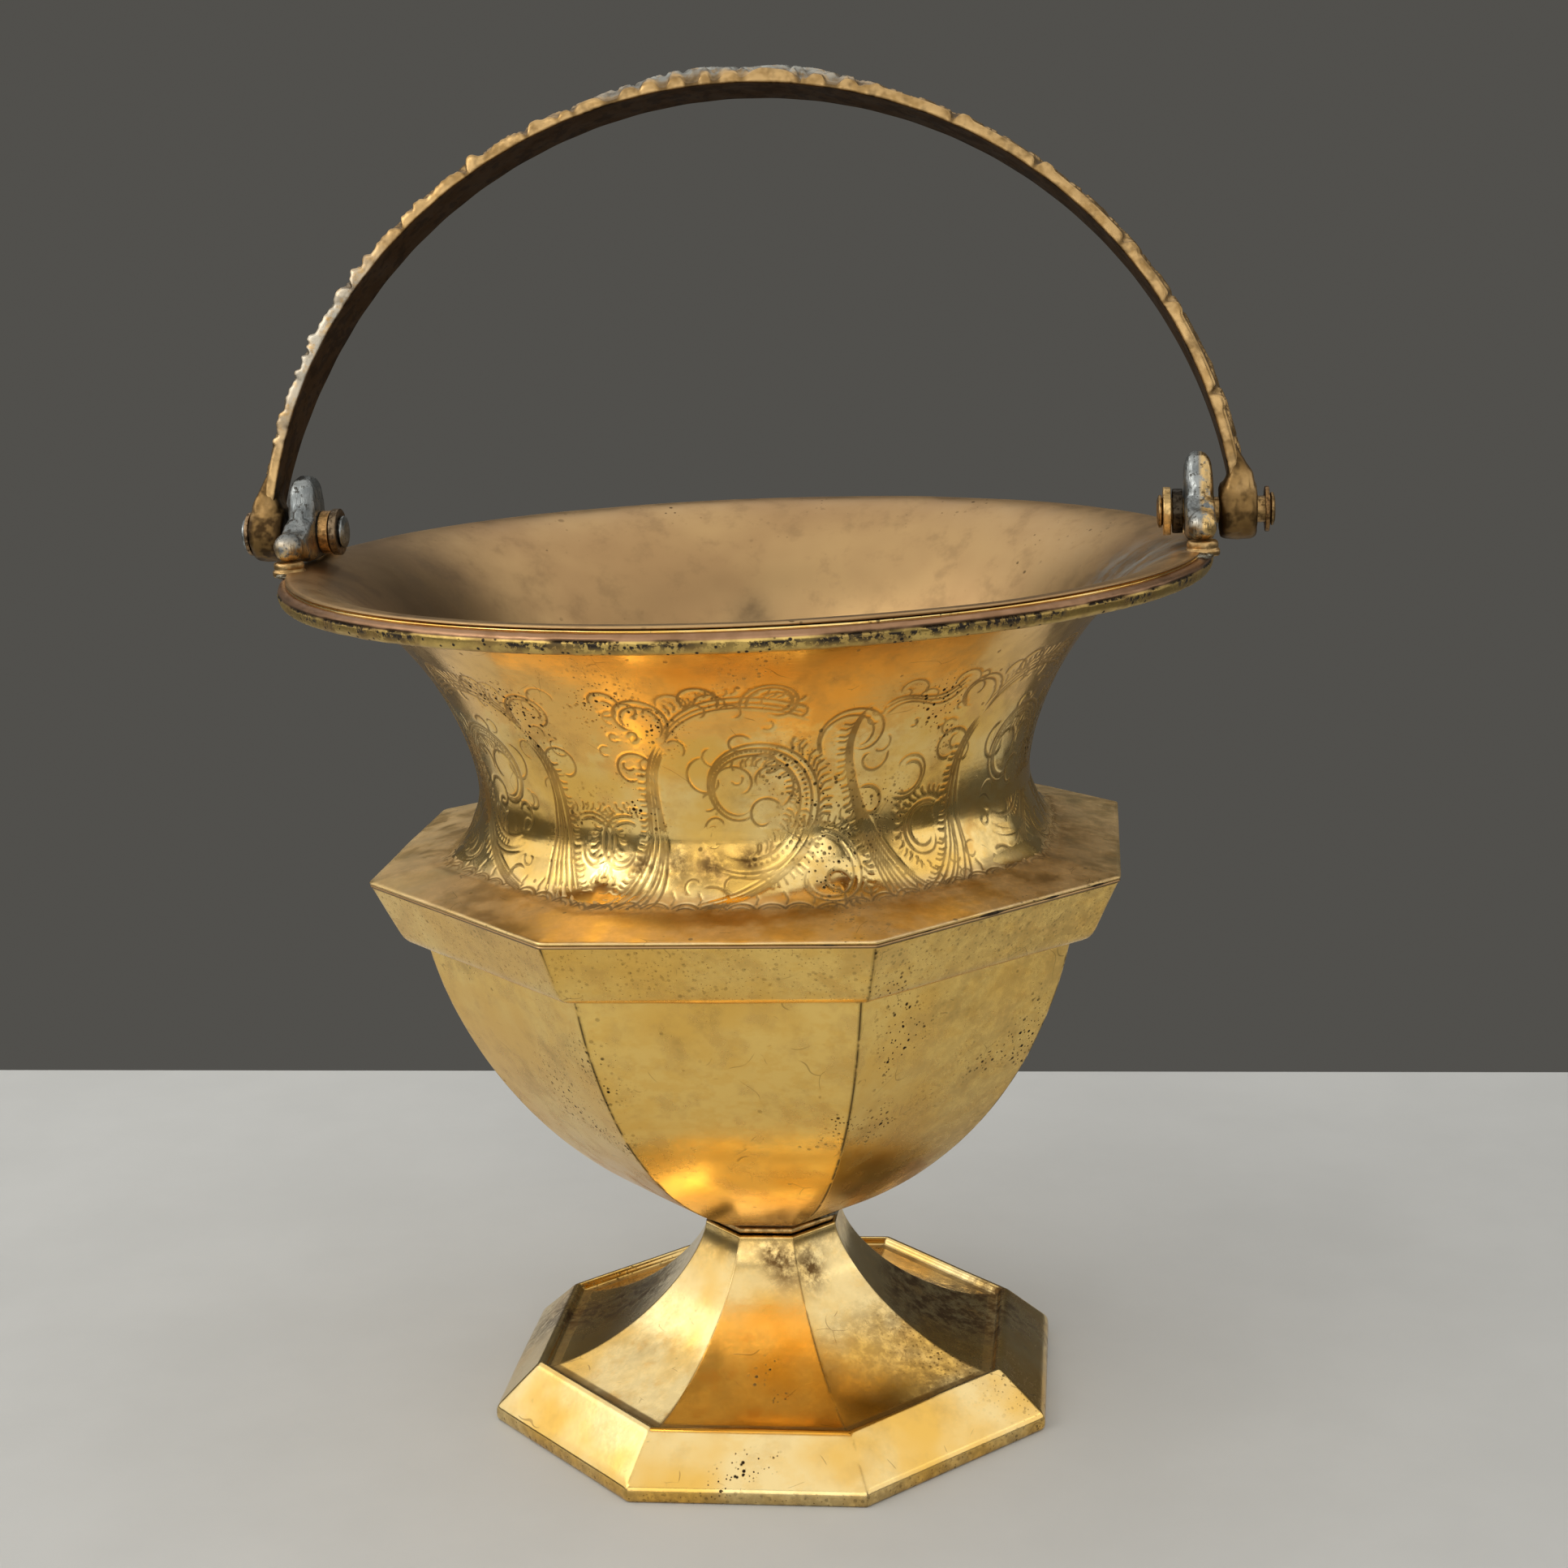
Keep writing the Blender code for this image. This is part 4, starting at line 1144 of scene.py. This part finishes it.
def lumpy_ring(name, radius, height, size, sharpness, seed, presence, material):
    """An uneven fillet of solder that follows an octagon. Presence thins it round the ring."""
    across, upright = size
    angles = octagon_angles(60)
    section = 2 * pi * np.arange(10) / 10
    core = ring_grid(np.array([(radius, height)]), angles, sharpness)[0]
    lump = 0.35 + 0.60 * layered_noise(core, 6 * MM, seed)
    outward = core / np.linalg.norm(core[:, :2], axis=1, keepdims=True)
    outward[:, 2] = 0
    amount = np.clip(lump * presence(angles), 0.08, 1.2)
    points = (
        core[None]
        + outward[None] * (np.cos(section)[:, None] * across * amount)[..., None]
        + np.array([0, 0, 1]) * (np.sin(section)[:, None] * upright * amount)[..., None]
    )
    return mesh_piece(name, points[::-1], material, closed=True)


def shoulder_presence(angles):
    return 0.45 + 1.1 * near_angle(angles, -52, 48) + 0.6 * near_angle(angles, 120, 40)


def collar_presence(angles):
    return 0.5 + 1.8 * near_angle(angles, -35, 42)


def make_seams(solder, seam_dirt, dark_brass):
    shoulder = lumpy_ring(
        "shoulder_seam",
        SHOULDER_RADIUS - 0.55 * MM,
        SHOULDER_HEIGHT - 0.50 * MM,
        (0.62 * MM, 0.36 * MM),
        300,
        61,
        shoulder_presence,
        seam_dirt,
    )
    stand_for(shoulder, "basket", "solder", "shoulder_solder")
    low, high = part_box("collar_solder")
    reach = high.x / cos(CORNER)
    height = (low.z + high.z) / 2
    size = (1.0 * MM, 0.55 * MM)
    fillet = lumpy_ring(
        "collar_seam", reach - 0.5 * MM, height, size, 120, 67, collar_presence, solder
    )
    stand_for(fillet, "basket", "solder", "collar_solder")

    low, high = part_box("stem_collar")
    reach = high.x / cos(CORNER)
    outline = round_corners(
        [
            (9 * MM, low.z),
            (reach - 0.5 * MM, low.z),
            (reach, low.z + 0.45 * MM),
            (reach - 0.1 * MM, high.z - 0.3 * MM),
            (reach - 0.6 * MM, high.z),
            (9 * MM, high.z),
        ],
        0.2 * MM,
    )
    angles = octagon_angles(30)
    points = ring_grid(even_points(outline, 0.25 * MM), angles, 120)
    points = points + grid_normals(points) * unevenness(points, 5 * MM, 0.08 * MM, 71)[..., None]
    ring = mesh_piece("collar_ring", points, dark_brass)
    stand_for(ring, "basket", "dark_brass", "stem_collar")


# Bail


def arch_frame(turn):
    """Points and outward directions along the strap's inner face."""
    x = ARCH_HALF_SPAN * np.sin(turn)
    z = ARCH_CENTRE + ARCH_RISE * np.cos(turn)
    out = np.stack([ARCH_RISE * np.sin(turn), 0 * turn, ARCH_HALF_SPAN * np.cos(turn)], axis=-1)
    out /= np.linalg.norm(out, axis=-1, keepdims=True)
    return np.stack([x, 0 * x, z], axis=-1), out


# Rounded nubs along the strap's edges, over the crest and then down the left arm: place and
# half width as shares of half the arch, and rise in millimetres
STRAP_NUBS = (
    (-0.240, 0.009, 1.3), (-0.205, 0.020, 1.7), (-0.147, 0.013, 1.6), (-0.118, 0.012, 1.8),
    (-0.080, 0.011, 1.8), (-0.040, 0.0075, 1.6), (-0.006, 0.013, 1.6), (0.056, 0.036, 2.6),
    (0.114, 0.012, 1.7), (0.160, 0.013, 1.7), (0.188, 0.013, 1.4),
    (-0.335, 0.018, 0.6), (-0.385, 0.010, 0.9), (-0.430, 0.020, 0.5), (-0.480, 0.009, 0.9),
    (-0.545, 0.022, 0.6), (-0.585, 0.008, 1.0), (-0.608, 0.008, 0.8), (-0.646, 0.014, 1.2),
    (-0.690, 0.022, 0.6), (-0.719, 0.007, 1.1), (-0.742, 0.012, 1.0), (-0.772, 0.006, 0.8),
    (-0.802, 0.018, 0.6), (-0.843, 0.015, 1.0), (-0.872, 0.006, 0.7),
)
PLATE_ENDS = (-0.74, -0.63, -0.52, -0.40, -0.30, 0.31, 0.44, 0.60, 0.70, 0.84)


def strap_edge_height(place):
    """Height of the strap's edges along it; place runs from -1 to 1.

    Smooth plates end in a notch and a small step. Over the crest and the left arm the edge is
    lower, and rounded nubs stand on it.
    """
    height = np.full(place.shape, 2.4)
    for end in PLATE_ENDS:
        height += 0.6 * hump(place, end + 0.015, 0.010, 4) - 1.3 * hump(place, end, 0.0055)
    height -= 1.5 * smooth_step(0.235 - np.abs(place + 0.03), 0, 0.02)
    height -= 1.0 * np.clip((place - 0.020) / 0.070, 0, 1) * (place < 0.094)
    left_arm = smooth_step(-place, 0.28, 0.32) * smooth_step(-place, 0.90, 0.86)
    height += left_arm * (0.10 * np.sin(place * 2 * pi * 80) - 0.35)
    for nub, reach, rise in STRAP_NUBS:
        height += rise * hump(place, nub, reach, 4)
    return np.clip(height, 0.7, 3.6) * MM


def strap_relief(rows, columns, length, width):
    """Cast ornament on the strap's outer face: husks down the middle, with leaf curls beside."""
    relief = Relief(rows, columns, length / rows, width / columns, wraps=False)
    middle = width / 2
    chance = np.random.default_rng(11)
    husk = 10.5 * MM
    count = int(length / husk)
    for index in range(count):
        base = (index + 0.5) * length / count
        toward = 1 if base < length / 2 else -1
        for side in (-1, 1):
            for reach, bend in ((1.0, 0.30), (0.8, 0.18), (0.55, 0.08)):
                start = (middle, base)
                tip = (middle + side * reach * 0.40 * width, base + toward * husk * (0.62 - bend))
                bow = (middle + side * reach * 0.30 * width, base + toward * husk * 0.02)
                relief.stroke(sweep(start, bow, tip, tip, 12), 0.75 * MM, chance.uniform(0.7, 1))
            centre = (middle + side * 0.30 * width, base + toward * 0.75 * husk)
            leaf = curl(centre, 1.5 * MM, 90 - 90 * side, side * toward * 270, 0.35, 18)
            relief.stroke(leaf, 0.6 * MM, 0.85)
        relief.stroke([(middle, base), (middle, base + toward * husk * 0.8)], 0.9 * MM, 1.0)
        for bead in range(3):
            relief.dot(middle, base + toward * husk * (0.82 + 0.08 * bead), 0.6 * MM, 0.9)
    for row in np.arange(0, length / 2 - 24 * MM, 1.9 * MM):
        for side in (-1, 1):
            relief.dot(middle + side * 0.45 * width, row, 0.6 * MM, 0.5)
    return relief.height


# Levels up the strap's sides: share of the edge's height, inset in millimetres, and painted shade,
# which darkens the lowest levels next to the dark inner face
STRAP_BEVELS = (
    (0.0, 0.25, 0.75), (0.10, 0.05, 0.25), (0.25, 0.0, 0.0), (0.5, 0.0, 0.0), (0.7, 0.02, 0.0),
    (0.86, 0.12, 0.0), (0.96, 0.34, 0.0),
)


def make_strap(material):
    turn = np.linspace(-ARCH_END, ARCH_END, STRAP_STATIONS)
    centre, out = arch_frame(turn)
    length = np.linalg.norm(np.diff(centre, axis=0), axis=1).sum()
    place = turn / ARCH_END

    taper = smooth_step((ARCH_END - np.abs(turn)) / NECK_TURN)
    half = (STRAP_NECK + (STRAP_WIDTH - STRAP_NECK) * taper) / 2
    scallop = 0.14 * MM * np.sin(place * pi * SCALLOPS) * taper
    edge = strap_edge_height(place)
    rise = smooth_step((CREST_TURN * 1.5 - np.abs(turn)) / CREST_TURN)
    crown = STRAP_CROWN + (CREST_CROWN - STRAP_CROWN) * rise

    across = np.linspace(-1, 1, STRAP_COLUMNS)
    ornament = strap_relief(STRAP_STATIONS, STRAP_COLUMNS, length, STRAP_WIDTH)
    grid = np.meshgrid(place * 150 * MM, across * 7 * MM, [0.0], indexing="ij")
    cells = np.stack(grid, -1)[:, :, 0]
    ragged = layered_noise(cells, 4 * MM, 81)
    folds = layered_noise(cells, 8 * MM, 83, 2)
    body = STRAP_EDGE - 0.9 * MM * rise[:, None]
    lift = body + (edge[:, None] - body) * hump(1 - np.abs(across), 0, 0.24)
    lift = lift + (crown[:, None] - body) * (1 - np.abs(across) ** 2.4)
    fade = smooth_step(1 - np.abs(across), 0.02, 0.20)
    relief_size = (0.80 + 0.1 * rise)[:, None] * MM
    lift = lift + (ornament * relief_size - 0.35 * MM + 0.16 * MM * ragged) * fade
    lift = lift + folds * rise[:, None] * 0.7 * MM * fade
    lift = np.minimum(lift, crown[:, None] + 0.9 * MM)

    width = half + scallop
    rows = []
    fields = {"groove": [], "wear": [], "stain": [], "silver": []}

    def column(side, height, **values):
        """One line of points along the strap, with its fields."""
        rows.append(centre + np.array([0, 1, 0]) * side[:, None] + out * height[:, None])
        for name, column_values in fields.items():
            value = np.broadcast_to(values.get(name, 0.0), (STRAP_STATIONS,))
            column_values.append(value.astype(float))

    notch = np.clip((1.9 * MM - edge) / (0.9 * MM), 0, 1)
    silver_crest = hump(place, -0.02, 0.20, 4)
    silver_arm = 0.7 * hump(place, -0.72, 0.14, 4)
    # Painted shade: the inner face, under the arch, is dark.
    for share in np.linspace(0.94, -0.94, 12):
        column(width * share, np.zeros(STRAP_STATIONS), stain=0.84)
    for share, inset, shade in STRAP_BEVELS:
        worn = 0.8 - notch * 0.7
        side = -(width - inset * MM)
        column(side, edge * share, groove=notch * 0.5, wear=worn, stain=shade, silver=silver_arm)
    for index, sideways in enumerate(across):
        inner_edge = smooth_step(1 - abs(sideways), 0.05, 0.26)
        hollow = np.clip(1 - 2 * ornament[:, index], 0, 1) * inner_edge
        raised = np.clip(ornament[:, index] * 0.9, 0, 1) * inner_edge
        column(
            sideways * (width - 0.45 * MM),
            lift[:, index],
            groove=np.maximum(
                hollow * 0.75 * (1 - 0.6 * silver_crest), notch * (1 - inner_edge) * 0.6
            ),
            wear=0.85 - 0.45 * inner_edge + raised * 0.35,
            stain=0.1 * inner_edge,
            silver=(silver_crest + silver_arm) * inner_edge,
        )
    for share, inset, shade in STRAP_BEVELS[::-1]:
        worn = 0.65 - notch * 0.5
        column(width - inset * MM, edge * share, groove=notch * 0.5, wear=worn, stain=shade)

    points = lean_back(np.stack(rows, axis=1)[:, ::-1])
    values = {name: np.stack(value, axis=1)[:, ::-1] for name, value in fields.items()}
    piece = mesh_piece("cast_strap", points, material, values, caps=True)
    return stand_for(piece, "bail", "cast_brass", "bail_handle")


def lean_back(points):
    """Turns points about the pivot line to the bail's resting lean, and lifts them to it."""
    y = points[..., 1] * cos(BAIL_LEAN) + points[..., 2] * sin(BAIL_LEAN)
    z = -points[..., 1] * sin(BAIL_LEAN) + points[..., 2] * cos(BAIL_LEAN)
    return np.stack([points[..., 0], y + PIVOT.y, z + PIVOT.z], axis=-1)


# Cast and turned small pieces


def mesh_of(solid, name):
    mesh = bpy.data.meshes.new(name)
    solid.to_mesh(mesh)
    solid.free()
    return mesh


def remeshed(name, source, voxel, smoothing, material):
    """Turns a closed mesh into a cast-looking skin with softened edges."""
    solid = bmesh.new()
    solid.from_mesh(source)
    piece = add_object(name, mesh_of(solid, name))
    skin = piece.modifiers.new("skin", "REMESH")
    skin.mode = "VOXEL"
    skin.voxel_size = voxel
    soften = piece.modifiers.new("soften", "SMOOTH")
    soften.factor = 0.5
    soften.iterations = smoothing
    shaped = piece.evaluated_get(bpy.context.evaluated_depsgraph_get())
    baked = bpy.data.meshes.new_from_object(shaped)
    bpy.data.objects.remove(piece)
    baked.name = name
    baked.shade_smooth()
    return finish_piece(name, baked, material)


def cad_mesh(node):
    return frame["nodes"][node].data


def read_vectors(rows, name):
    flat = np.zeros(len(rows) * 3, np.float32)
    rows.foreach_get(name, flat)
    return flat.reshape(-1, 3).astype(float)


def vertex_places(piece):
    return read_vectors(piece.data.vertices, "co")


def roughen(piece, size, amount, seed):
    """Moves a skin in and out by noise, as on a casting."""
    places = vertex_places(piece)
    lift = layered_noise(places, size, seed) * amount
    move_vertices(piece, places + read_vectors(piece.data.vertex_normals, "vector") * lift[:, None])


def set_field(piece, name, values):
    values = np.clip(np.broadcast_to(values, (len(piece.data.vertices),)), 0, 1)
    layer = piece.data.attributes.new(name, "FLOAT", "POINT")
    layer.data.foreach_set("value", values.astype(np.float32))


def move_vertices(piece, places):
    piece.data.vertices.foreach_set("co", places.astype(np.float32).reshape(-1))
    piece.data.update()


def arch_ear(ear, middle):
    """Rounds a slab's top and its front and rear edges, like a filed tongue."""
    places = vertex_places(ear)
    top = places[:, 2].max()
    climb = np.clip((places[:, 2] - PIVOT.z - 2 * MM) / (top - PIVOT.z - 1.8 * MM), 0, 1)
    reach = 6.4 * MM - 1.6 * MM * climb
    above = smooth_step(places[:, 2], PIVOT.z + 1 * MM, PIVOT.z + 4 * MM)
    sideways = np.clip(np.abs(places[:, 1]) / reach, 0, 1) * above
    thin = (1 - 0.95 * climb**4) ** 0.4 * (1 - 0.9 * sideways**4) ** 0.4
    places[:, 0] = middle + (places[:, 0] - middle) * np.maximum(thin, 0.25)
    places[:, 0] += np.where(above > 0, np.sign(middle) * -0.25 * MM * climb, 0)
    move_vertices(ear, places)


def make_ear(side, number, material):
    seed = 100 * (number + 1)
    node = side + "_ear"
    low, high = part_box(node)
    ear = remeshed(node + "_casting", cad_mesh(node), 0.28 * MM, 10, material)
    arch_ear(ear, (low.x + high.x) / 2)
    roughen(ear, 2.5 * MM, 0.09 * MM, seed)
    stand_for(ear, "basket", "worn_plate", node)
    places = vertex_places(ear)
    below = smooth_step(places[:, 2], PIVOT.z + 2 * MM, PIVOT.z - 4 * MM)
    front = smooth_step(-places[:, 1], 2 * MM, 6 * MM)
    if side == "right":
        wear = smooth_step(places[:, 0], 96.6 * MM, 97.6 * MM) * 0.9 + below * 0.5
    else:
        wear = below * front * 0.9
    set_field(ear, "wear", wear)
    hollow = smooth_step(np.abs(places[:, 1]), 9.5 * MM, 7.5 * MM)
    low_part = smooth_step(places[:, 2], PIVOT.z - 2.0 * MM, PIVOT.z - 4.5 * MM)
    set_field(ear, "stain", low_part * hollow * 0.6)


def make_moulding(side, end, seed, materials):
    """The rolls under an ear's ball, joined to the rim by a smear of solder."""
    name = f"{side}_{end}_pad"
    low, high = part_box(name)
    pad = remeshed(f"{side}_{end}_moulding", cad_mesh(name), 0.18 * MM, 2, materials["pad"])
    places = vertex_places(pad)
    places[:, 2] += np.where(places[:, 2] > high.z - 0.5 * MM, 0.5 * MM, 0)
    places[:, 2] -= np.where(places[:, 2] < low.z + 0.4 * MM, 0.5 * MM, 0)
    move_vertices(pad, places)
    roughen(pad, 1.5 * MM, 0.07 * MM, seed + 7)
    stand_for(pad, "basket", "cast_brass", name)
    set_field(pad, "wear", 0.75)

    smear = bmesh.new()
    centre = Vector(((low.x + high.x) / 2, (low.y + high.y) / 2, low.z - 0.1 * MM))
    inwards = Vector((-centre.x, -centre.y, 0)).normalized()
    place = Matrix.Translation(centre + inwards * 0.9 * MM)
    turned = Matrix.Rotation(atan2(centre.y, centre.x), 4, "Z")
    spread = Matrix.Diagonal((3.9 * MM, 5.2 * MM, 0.9 * MM, 1))
    matrix = place @ turned @ spread
    bmesh.ops.create_uvsphere(smear, u_segments=24, v_segments=16, radius=1, matrix=matrix)
    mesh = mesh_of(smear, "smear")
    blob = remeshed(f"{side}_{end}_smear", mesh, 0.2 * MM, 2, materials["smear"])
    roughen(blob, 2.4 * MM, 0.30 * MM, seed + 23)
    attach(blob, "basket")


def make_pivot_pieces(materials):
    turned = (
        ("_outer_washer", "washer_disc", "dark_washer", "dark_brass"),
        ("_bush", "bush_drum", "bush_brass", "cast_brass"),
        ("_rove", "rove_disc", "rove_brass", "dark_brass"),
        ("_rivet", "rivet_pin", "rivet_metal", "worn_plate"),
    )
    for number, side in enumerate(("left", "right")):
        seed = 100 * (number + 1)
        make_ear(side, number, materials["plate_" + side])
        for end in ("front", "rear"):
            make_moulding(side, end, seed, materials)
        for suffix, name, material, slot in turned:
            metal = materials[f"{material}_{side}"]
            piece = remeshed(f"{side}_{name}", cad_mesh(side + suffix), 0.16 * MM, 2, metal)
            roughen(piece, 1.2 * MM, 0.03 * MM, seed + 13)
            stand_for(piece, "basket", slot, side + suffix)


# The eye in millimetres. Its barrel is radius and place along the pivot of each ring, and its
# block is height above the pivot, thickness and width of each level.
EYE_BARREL = ((4.9, -3.9), (5.7, -3.6), (6.2, -2.7), (6.2, 2.7), (5.7, 3.6), (4.9, 3.9))
EYE_BLOCK = (
    (-3.0, 7.2, 10.6),
    (3.0, 7.4, 11.0),
    (5.4, 6.8, 10.4),
    (7.4, 5.4, 9.6),
    (9.4, 4.2, 9.0),
    (12.5, 3.2, 8.8),
    (17.0, 2.6, 9.0),
)


def add_skin(solid, rings):
    """Joins rings of points into a closed skin, with both ends filled."""
    rings = [[solid.verts.new(point) for point in ring] for ring in rings]
    for lower, upper in zip(rings, rings[1:]):
        for i in range(len(lower)):
            j = (i + 1) % len(lower)
            solid.faces.new((lower[i], lower[j], upper[j], upper[i]))
    solid.faces.new(rings[0])
    solid.faces.new(rings[-1])


def squared(value):
    """Pushes a sine or cosine outwards, which turns a circle into a rounded square."""
    return np.sign(value) * abs(value) ** 0.55


def eye_mesh(sign):
    """The eye's barrel and the sloping block that joins it to the strap, before the lean."""
    eye = bmesh.new()
    barrel = []
    for radius, along in EYE_BARREL:
        angles = 2 * pi * np.arange(32) / 32
        x = sign * EYE_X + along * MM
        barrel.append([(x, radius * MM * cos(a), radius * MM * sin(a)) for a in angles])
    add_skin(eye, barrel)

    block = []
    for height, thick, wide in EYE_BLOCK:
        middle = EYE_X
        if height > 4:
            turn = acos((height * MM - ARCH_CENTRE) / ARCH_RISE)
            on_strap = ARCH_HALF_SPAN * sin(turn) + thick / 2 * MM
            middle += (on_strap - EYE_X) * smooth_step(height, 4, 10)
        corners = []
        for step in range(16):
            angle = 2 * pi * step / 16
            x = middle + thick / 2 * MM * squared(cos(angle))
            corners.append((sign * x, wide / 2 * MM * squared(sin(angle)), height * MM))
        block.append(corners)
    add_skin(eye, block)
    bmesh.ops.recalc_face_normals(eye, faces=eye.faces)
    return mesh_of(eye, "eye")


def make_eyes(material):
    for sign, side in ((-1, "left"), (1, "right")):
        piece = remeshed(side + "_eye", eye_mesh(sign), 0.25 * MM, 8, material)
        roughen(piece, 2.5 * MM, 0.12 * MM, 90 + sign)
        places = vertex_places(piece)
        bore = np.hypot(places[:, 1], places[:, 2]) < RIVET_RADIUS + 0.2 * MM
        set_field(piece, "groove", bore * 0.8)
        height, from_middle = places[:, 2], np.abs(places[:, 0])
        upper = smooth_step(height, 1.5 * MM, 4.0 * MM) * smooth_step(height, 9.5 * MM, 6.0 * MM)
        outer = smooth_step(from_middle, EYE_X + 1.5 * MM, EYE_X + 4 * MM)
        inner = smooth_step(from_middle, EYE_X - 1.0 * MM, EYE_X - 3.6 * MM)
        # Painted shade: the left eye, which lies in shadow, is darker and has less rubbed gold, and
        # the inner sides by the ears are darker. The upper part is less dark and has more rubbed
        # gold, partly wear and partly a painted highlight.
        shade = 0.64 if sign < 0 else 0.46
        set_field(piece, "wear", (upper * 0.6 + outer * 0.2) * (1.1 - shade))
        set_field(piece, "stain", shade + 0.5 * inner - 0.35 * upper)
        move_vertices(piece, lean_back(places))
        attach(piece, "bail")


# Stage


def make_camera():
    across = CAMERA_DISTANCE * sin(CAMERA_AZIMUTH)
    place = Vector((across, -CAMERA_DISTANCE * cos(CAMERA_AZIMUTH), CAMERA_HEIGHT))
    heading = CAMERA_AZIMUTH + CAMERA_YAW
    level = cos(CAMERA_PITCH)
    forward = Vector((-sin(heading) * level, cos(heading) * level, -sin(CAMERA_PITCH)))
    right = Vector((cos(heading), sin(heading), 0))
    up = right.cross(forward)
    rolled_right = cos(CAMERA_ROLL) * right + sin(CAMERA_ROLL) * up
    rolled_up = cos(CAMERA_ROLL) * up - sin(CAMERA_ROLL) * right
    lens = bpy.data.cameras.new("camera")
    lens.lens = CAMERA_LENS
    lens.sensor_width = SENSOR_WIDTH
    lens.clip_start = 0.01
    camera = add_object("camera", lens)
    matrix = Matrix((rolled_right, rolled_up, -forward)).transposed().to_4x4()
    matrix.translation = place
    camera.matrix_world = matrix
    bpy.context.scene.camera = camera


def soft_light(name, place, size, power, colour):
    lamp = bpy.data.lights.new(name, "AREA")
    lamp.shape = "RECTANGLE"
    lamp.size, lamp.size_y = size
    lamp.energy = power
    lamp.color = colour
    light = add_object(name, lamp)
    light.location = place
    toward = Vector(LIGHT_AIM) - Vector(place)
    light.rotation_euler = toward.to_track_quat("-Z", "Y").to_euler()


def make_stage():
    mesh = bpy.data.meshes.new("floor")
    corners = [
        (FLOOR_LEFT, FLOOR_FRONT, 0),
        (FLOOR_RIGHT, FLOOR_FRONT, 0),
        (FLOOR_RIGHT, FLOOR_BACK, 0),
        (FLOOR_LEFT, FLOOR_BACK, 0),
    ]
    mesh.from_pydata(corners, [], [(0, 1, 2, 3)])
    floor = finish_piece("floor", mesh, pale_floor())

    world = bpy.data.worlds.new("studio")
    world.use_nodes = True
    background = world.node_tree.nodes["Background"]
    background.inputs["Color"].default_value = WORLD_COLOUR
    background.inputs["Strength"].default_value = WORLD_STRENGTH
    bpy.context.scene.world = world
    bpy.context.scene.view_settings.view_transform = "Standard"
    for light in LIGHTS:
        soft_light(*light)


def make_object():
    # Shift, tarnish, pits, gloss, pale colour and mottling
    gilt = gilt_brass("gilt_panels", 0.0, 0.26, 0.35, 0.19, (0.98, 0.67, 0.20), 0.9)
    gilt_neck = gilt_brass("gilt_neck", 0.4, 0.30, 0.5, 0.15, (0.97, 0.71, 0.28), 1.0)
    gilt_foot = gilt_brass("gilt_foot", 0.8, 0.16, 0.0, 0.13, (0.95, 0.73, 0.34), 0.45)
    satin = satin_brass("satin_inside")
    dark_brass = tarnished_brass("collar_brass", 0.0, (0.50, 0.33, 0.13), 0.3)
    make_foot(gilt_foot)
    make_bowl(gilt)
    make_neck(gilt_neck, satin)
    make_bead(bead_brass("rim_wire"))
    seam_dirt = old_solder("seam_dirt", 0.9, (0.045, 0.028, 0.014))
    make_seams(old_solder("seam_solder", 0.5), seam_dirt, dark_brass)
    bail_metal = cast_brass("bail_metal")
    make_strap(bail_metal)
    make_eyes(cast_brass("eye_metal", 0.5))
    materials = {
        "plate_left": worn_plate("plate_left", 0.0, (0.29, 0.305, 0.30)),
        "plate_right": worn_plate("plate_right", 0.5),
        "pad": cast_brass("pad_metal", 0.9),
        "smear": old_solder("rim_smear", 0.3, (0.46, 0.45, 0.36)),
        "dark_washer_left": tarnished_brass("washer_left", 0.1, (0.20, 0.13, 0.07), 0.8),
        "dark_washer_right": tarnished_brass("washer_right", 0.4, (0.16, 0.09, 0.035), 0.7),
        "bush_brass_left": tarnished_brass("bush_left", 0.2, (0.42, 0.24, 0.09), 0.4),
        "bush_brass_right": tarnished_brass("bush_right", 0.6, (0.035, 0.027, 0.018), 0.9),
        "rove_brass_left": tarnished_brass("rove_left", 0.3, (0.14, 0.10, 0.06), 0.6),
        "rove_brass_right": tarnished_brass("rove_right", 0.7, (0.48, 0.32, 0.13), 0.3),
        "rivet_metal_left": worn_plate("rivet_left", 0.2),
        "rivet_metal_right": tarnished_brass("rivet_right", 0.7, (0.24, 0.15, 0.06), 0.5),
    }
    make_pivot_pieces(materials)


make_camera()
make_stage()
make_object()
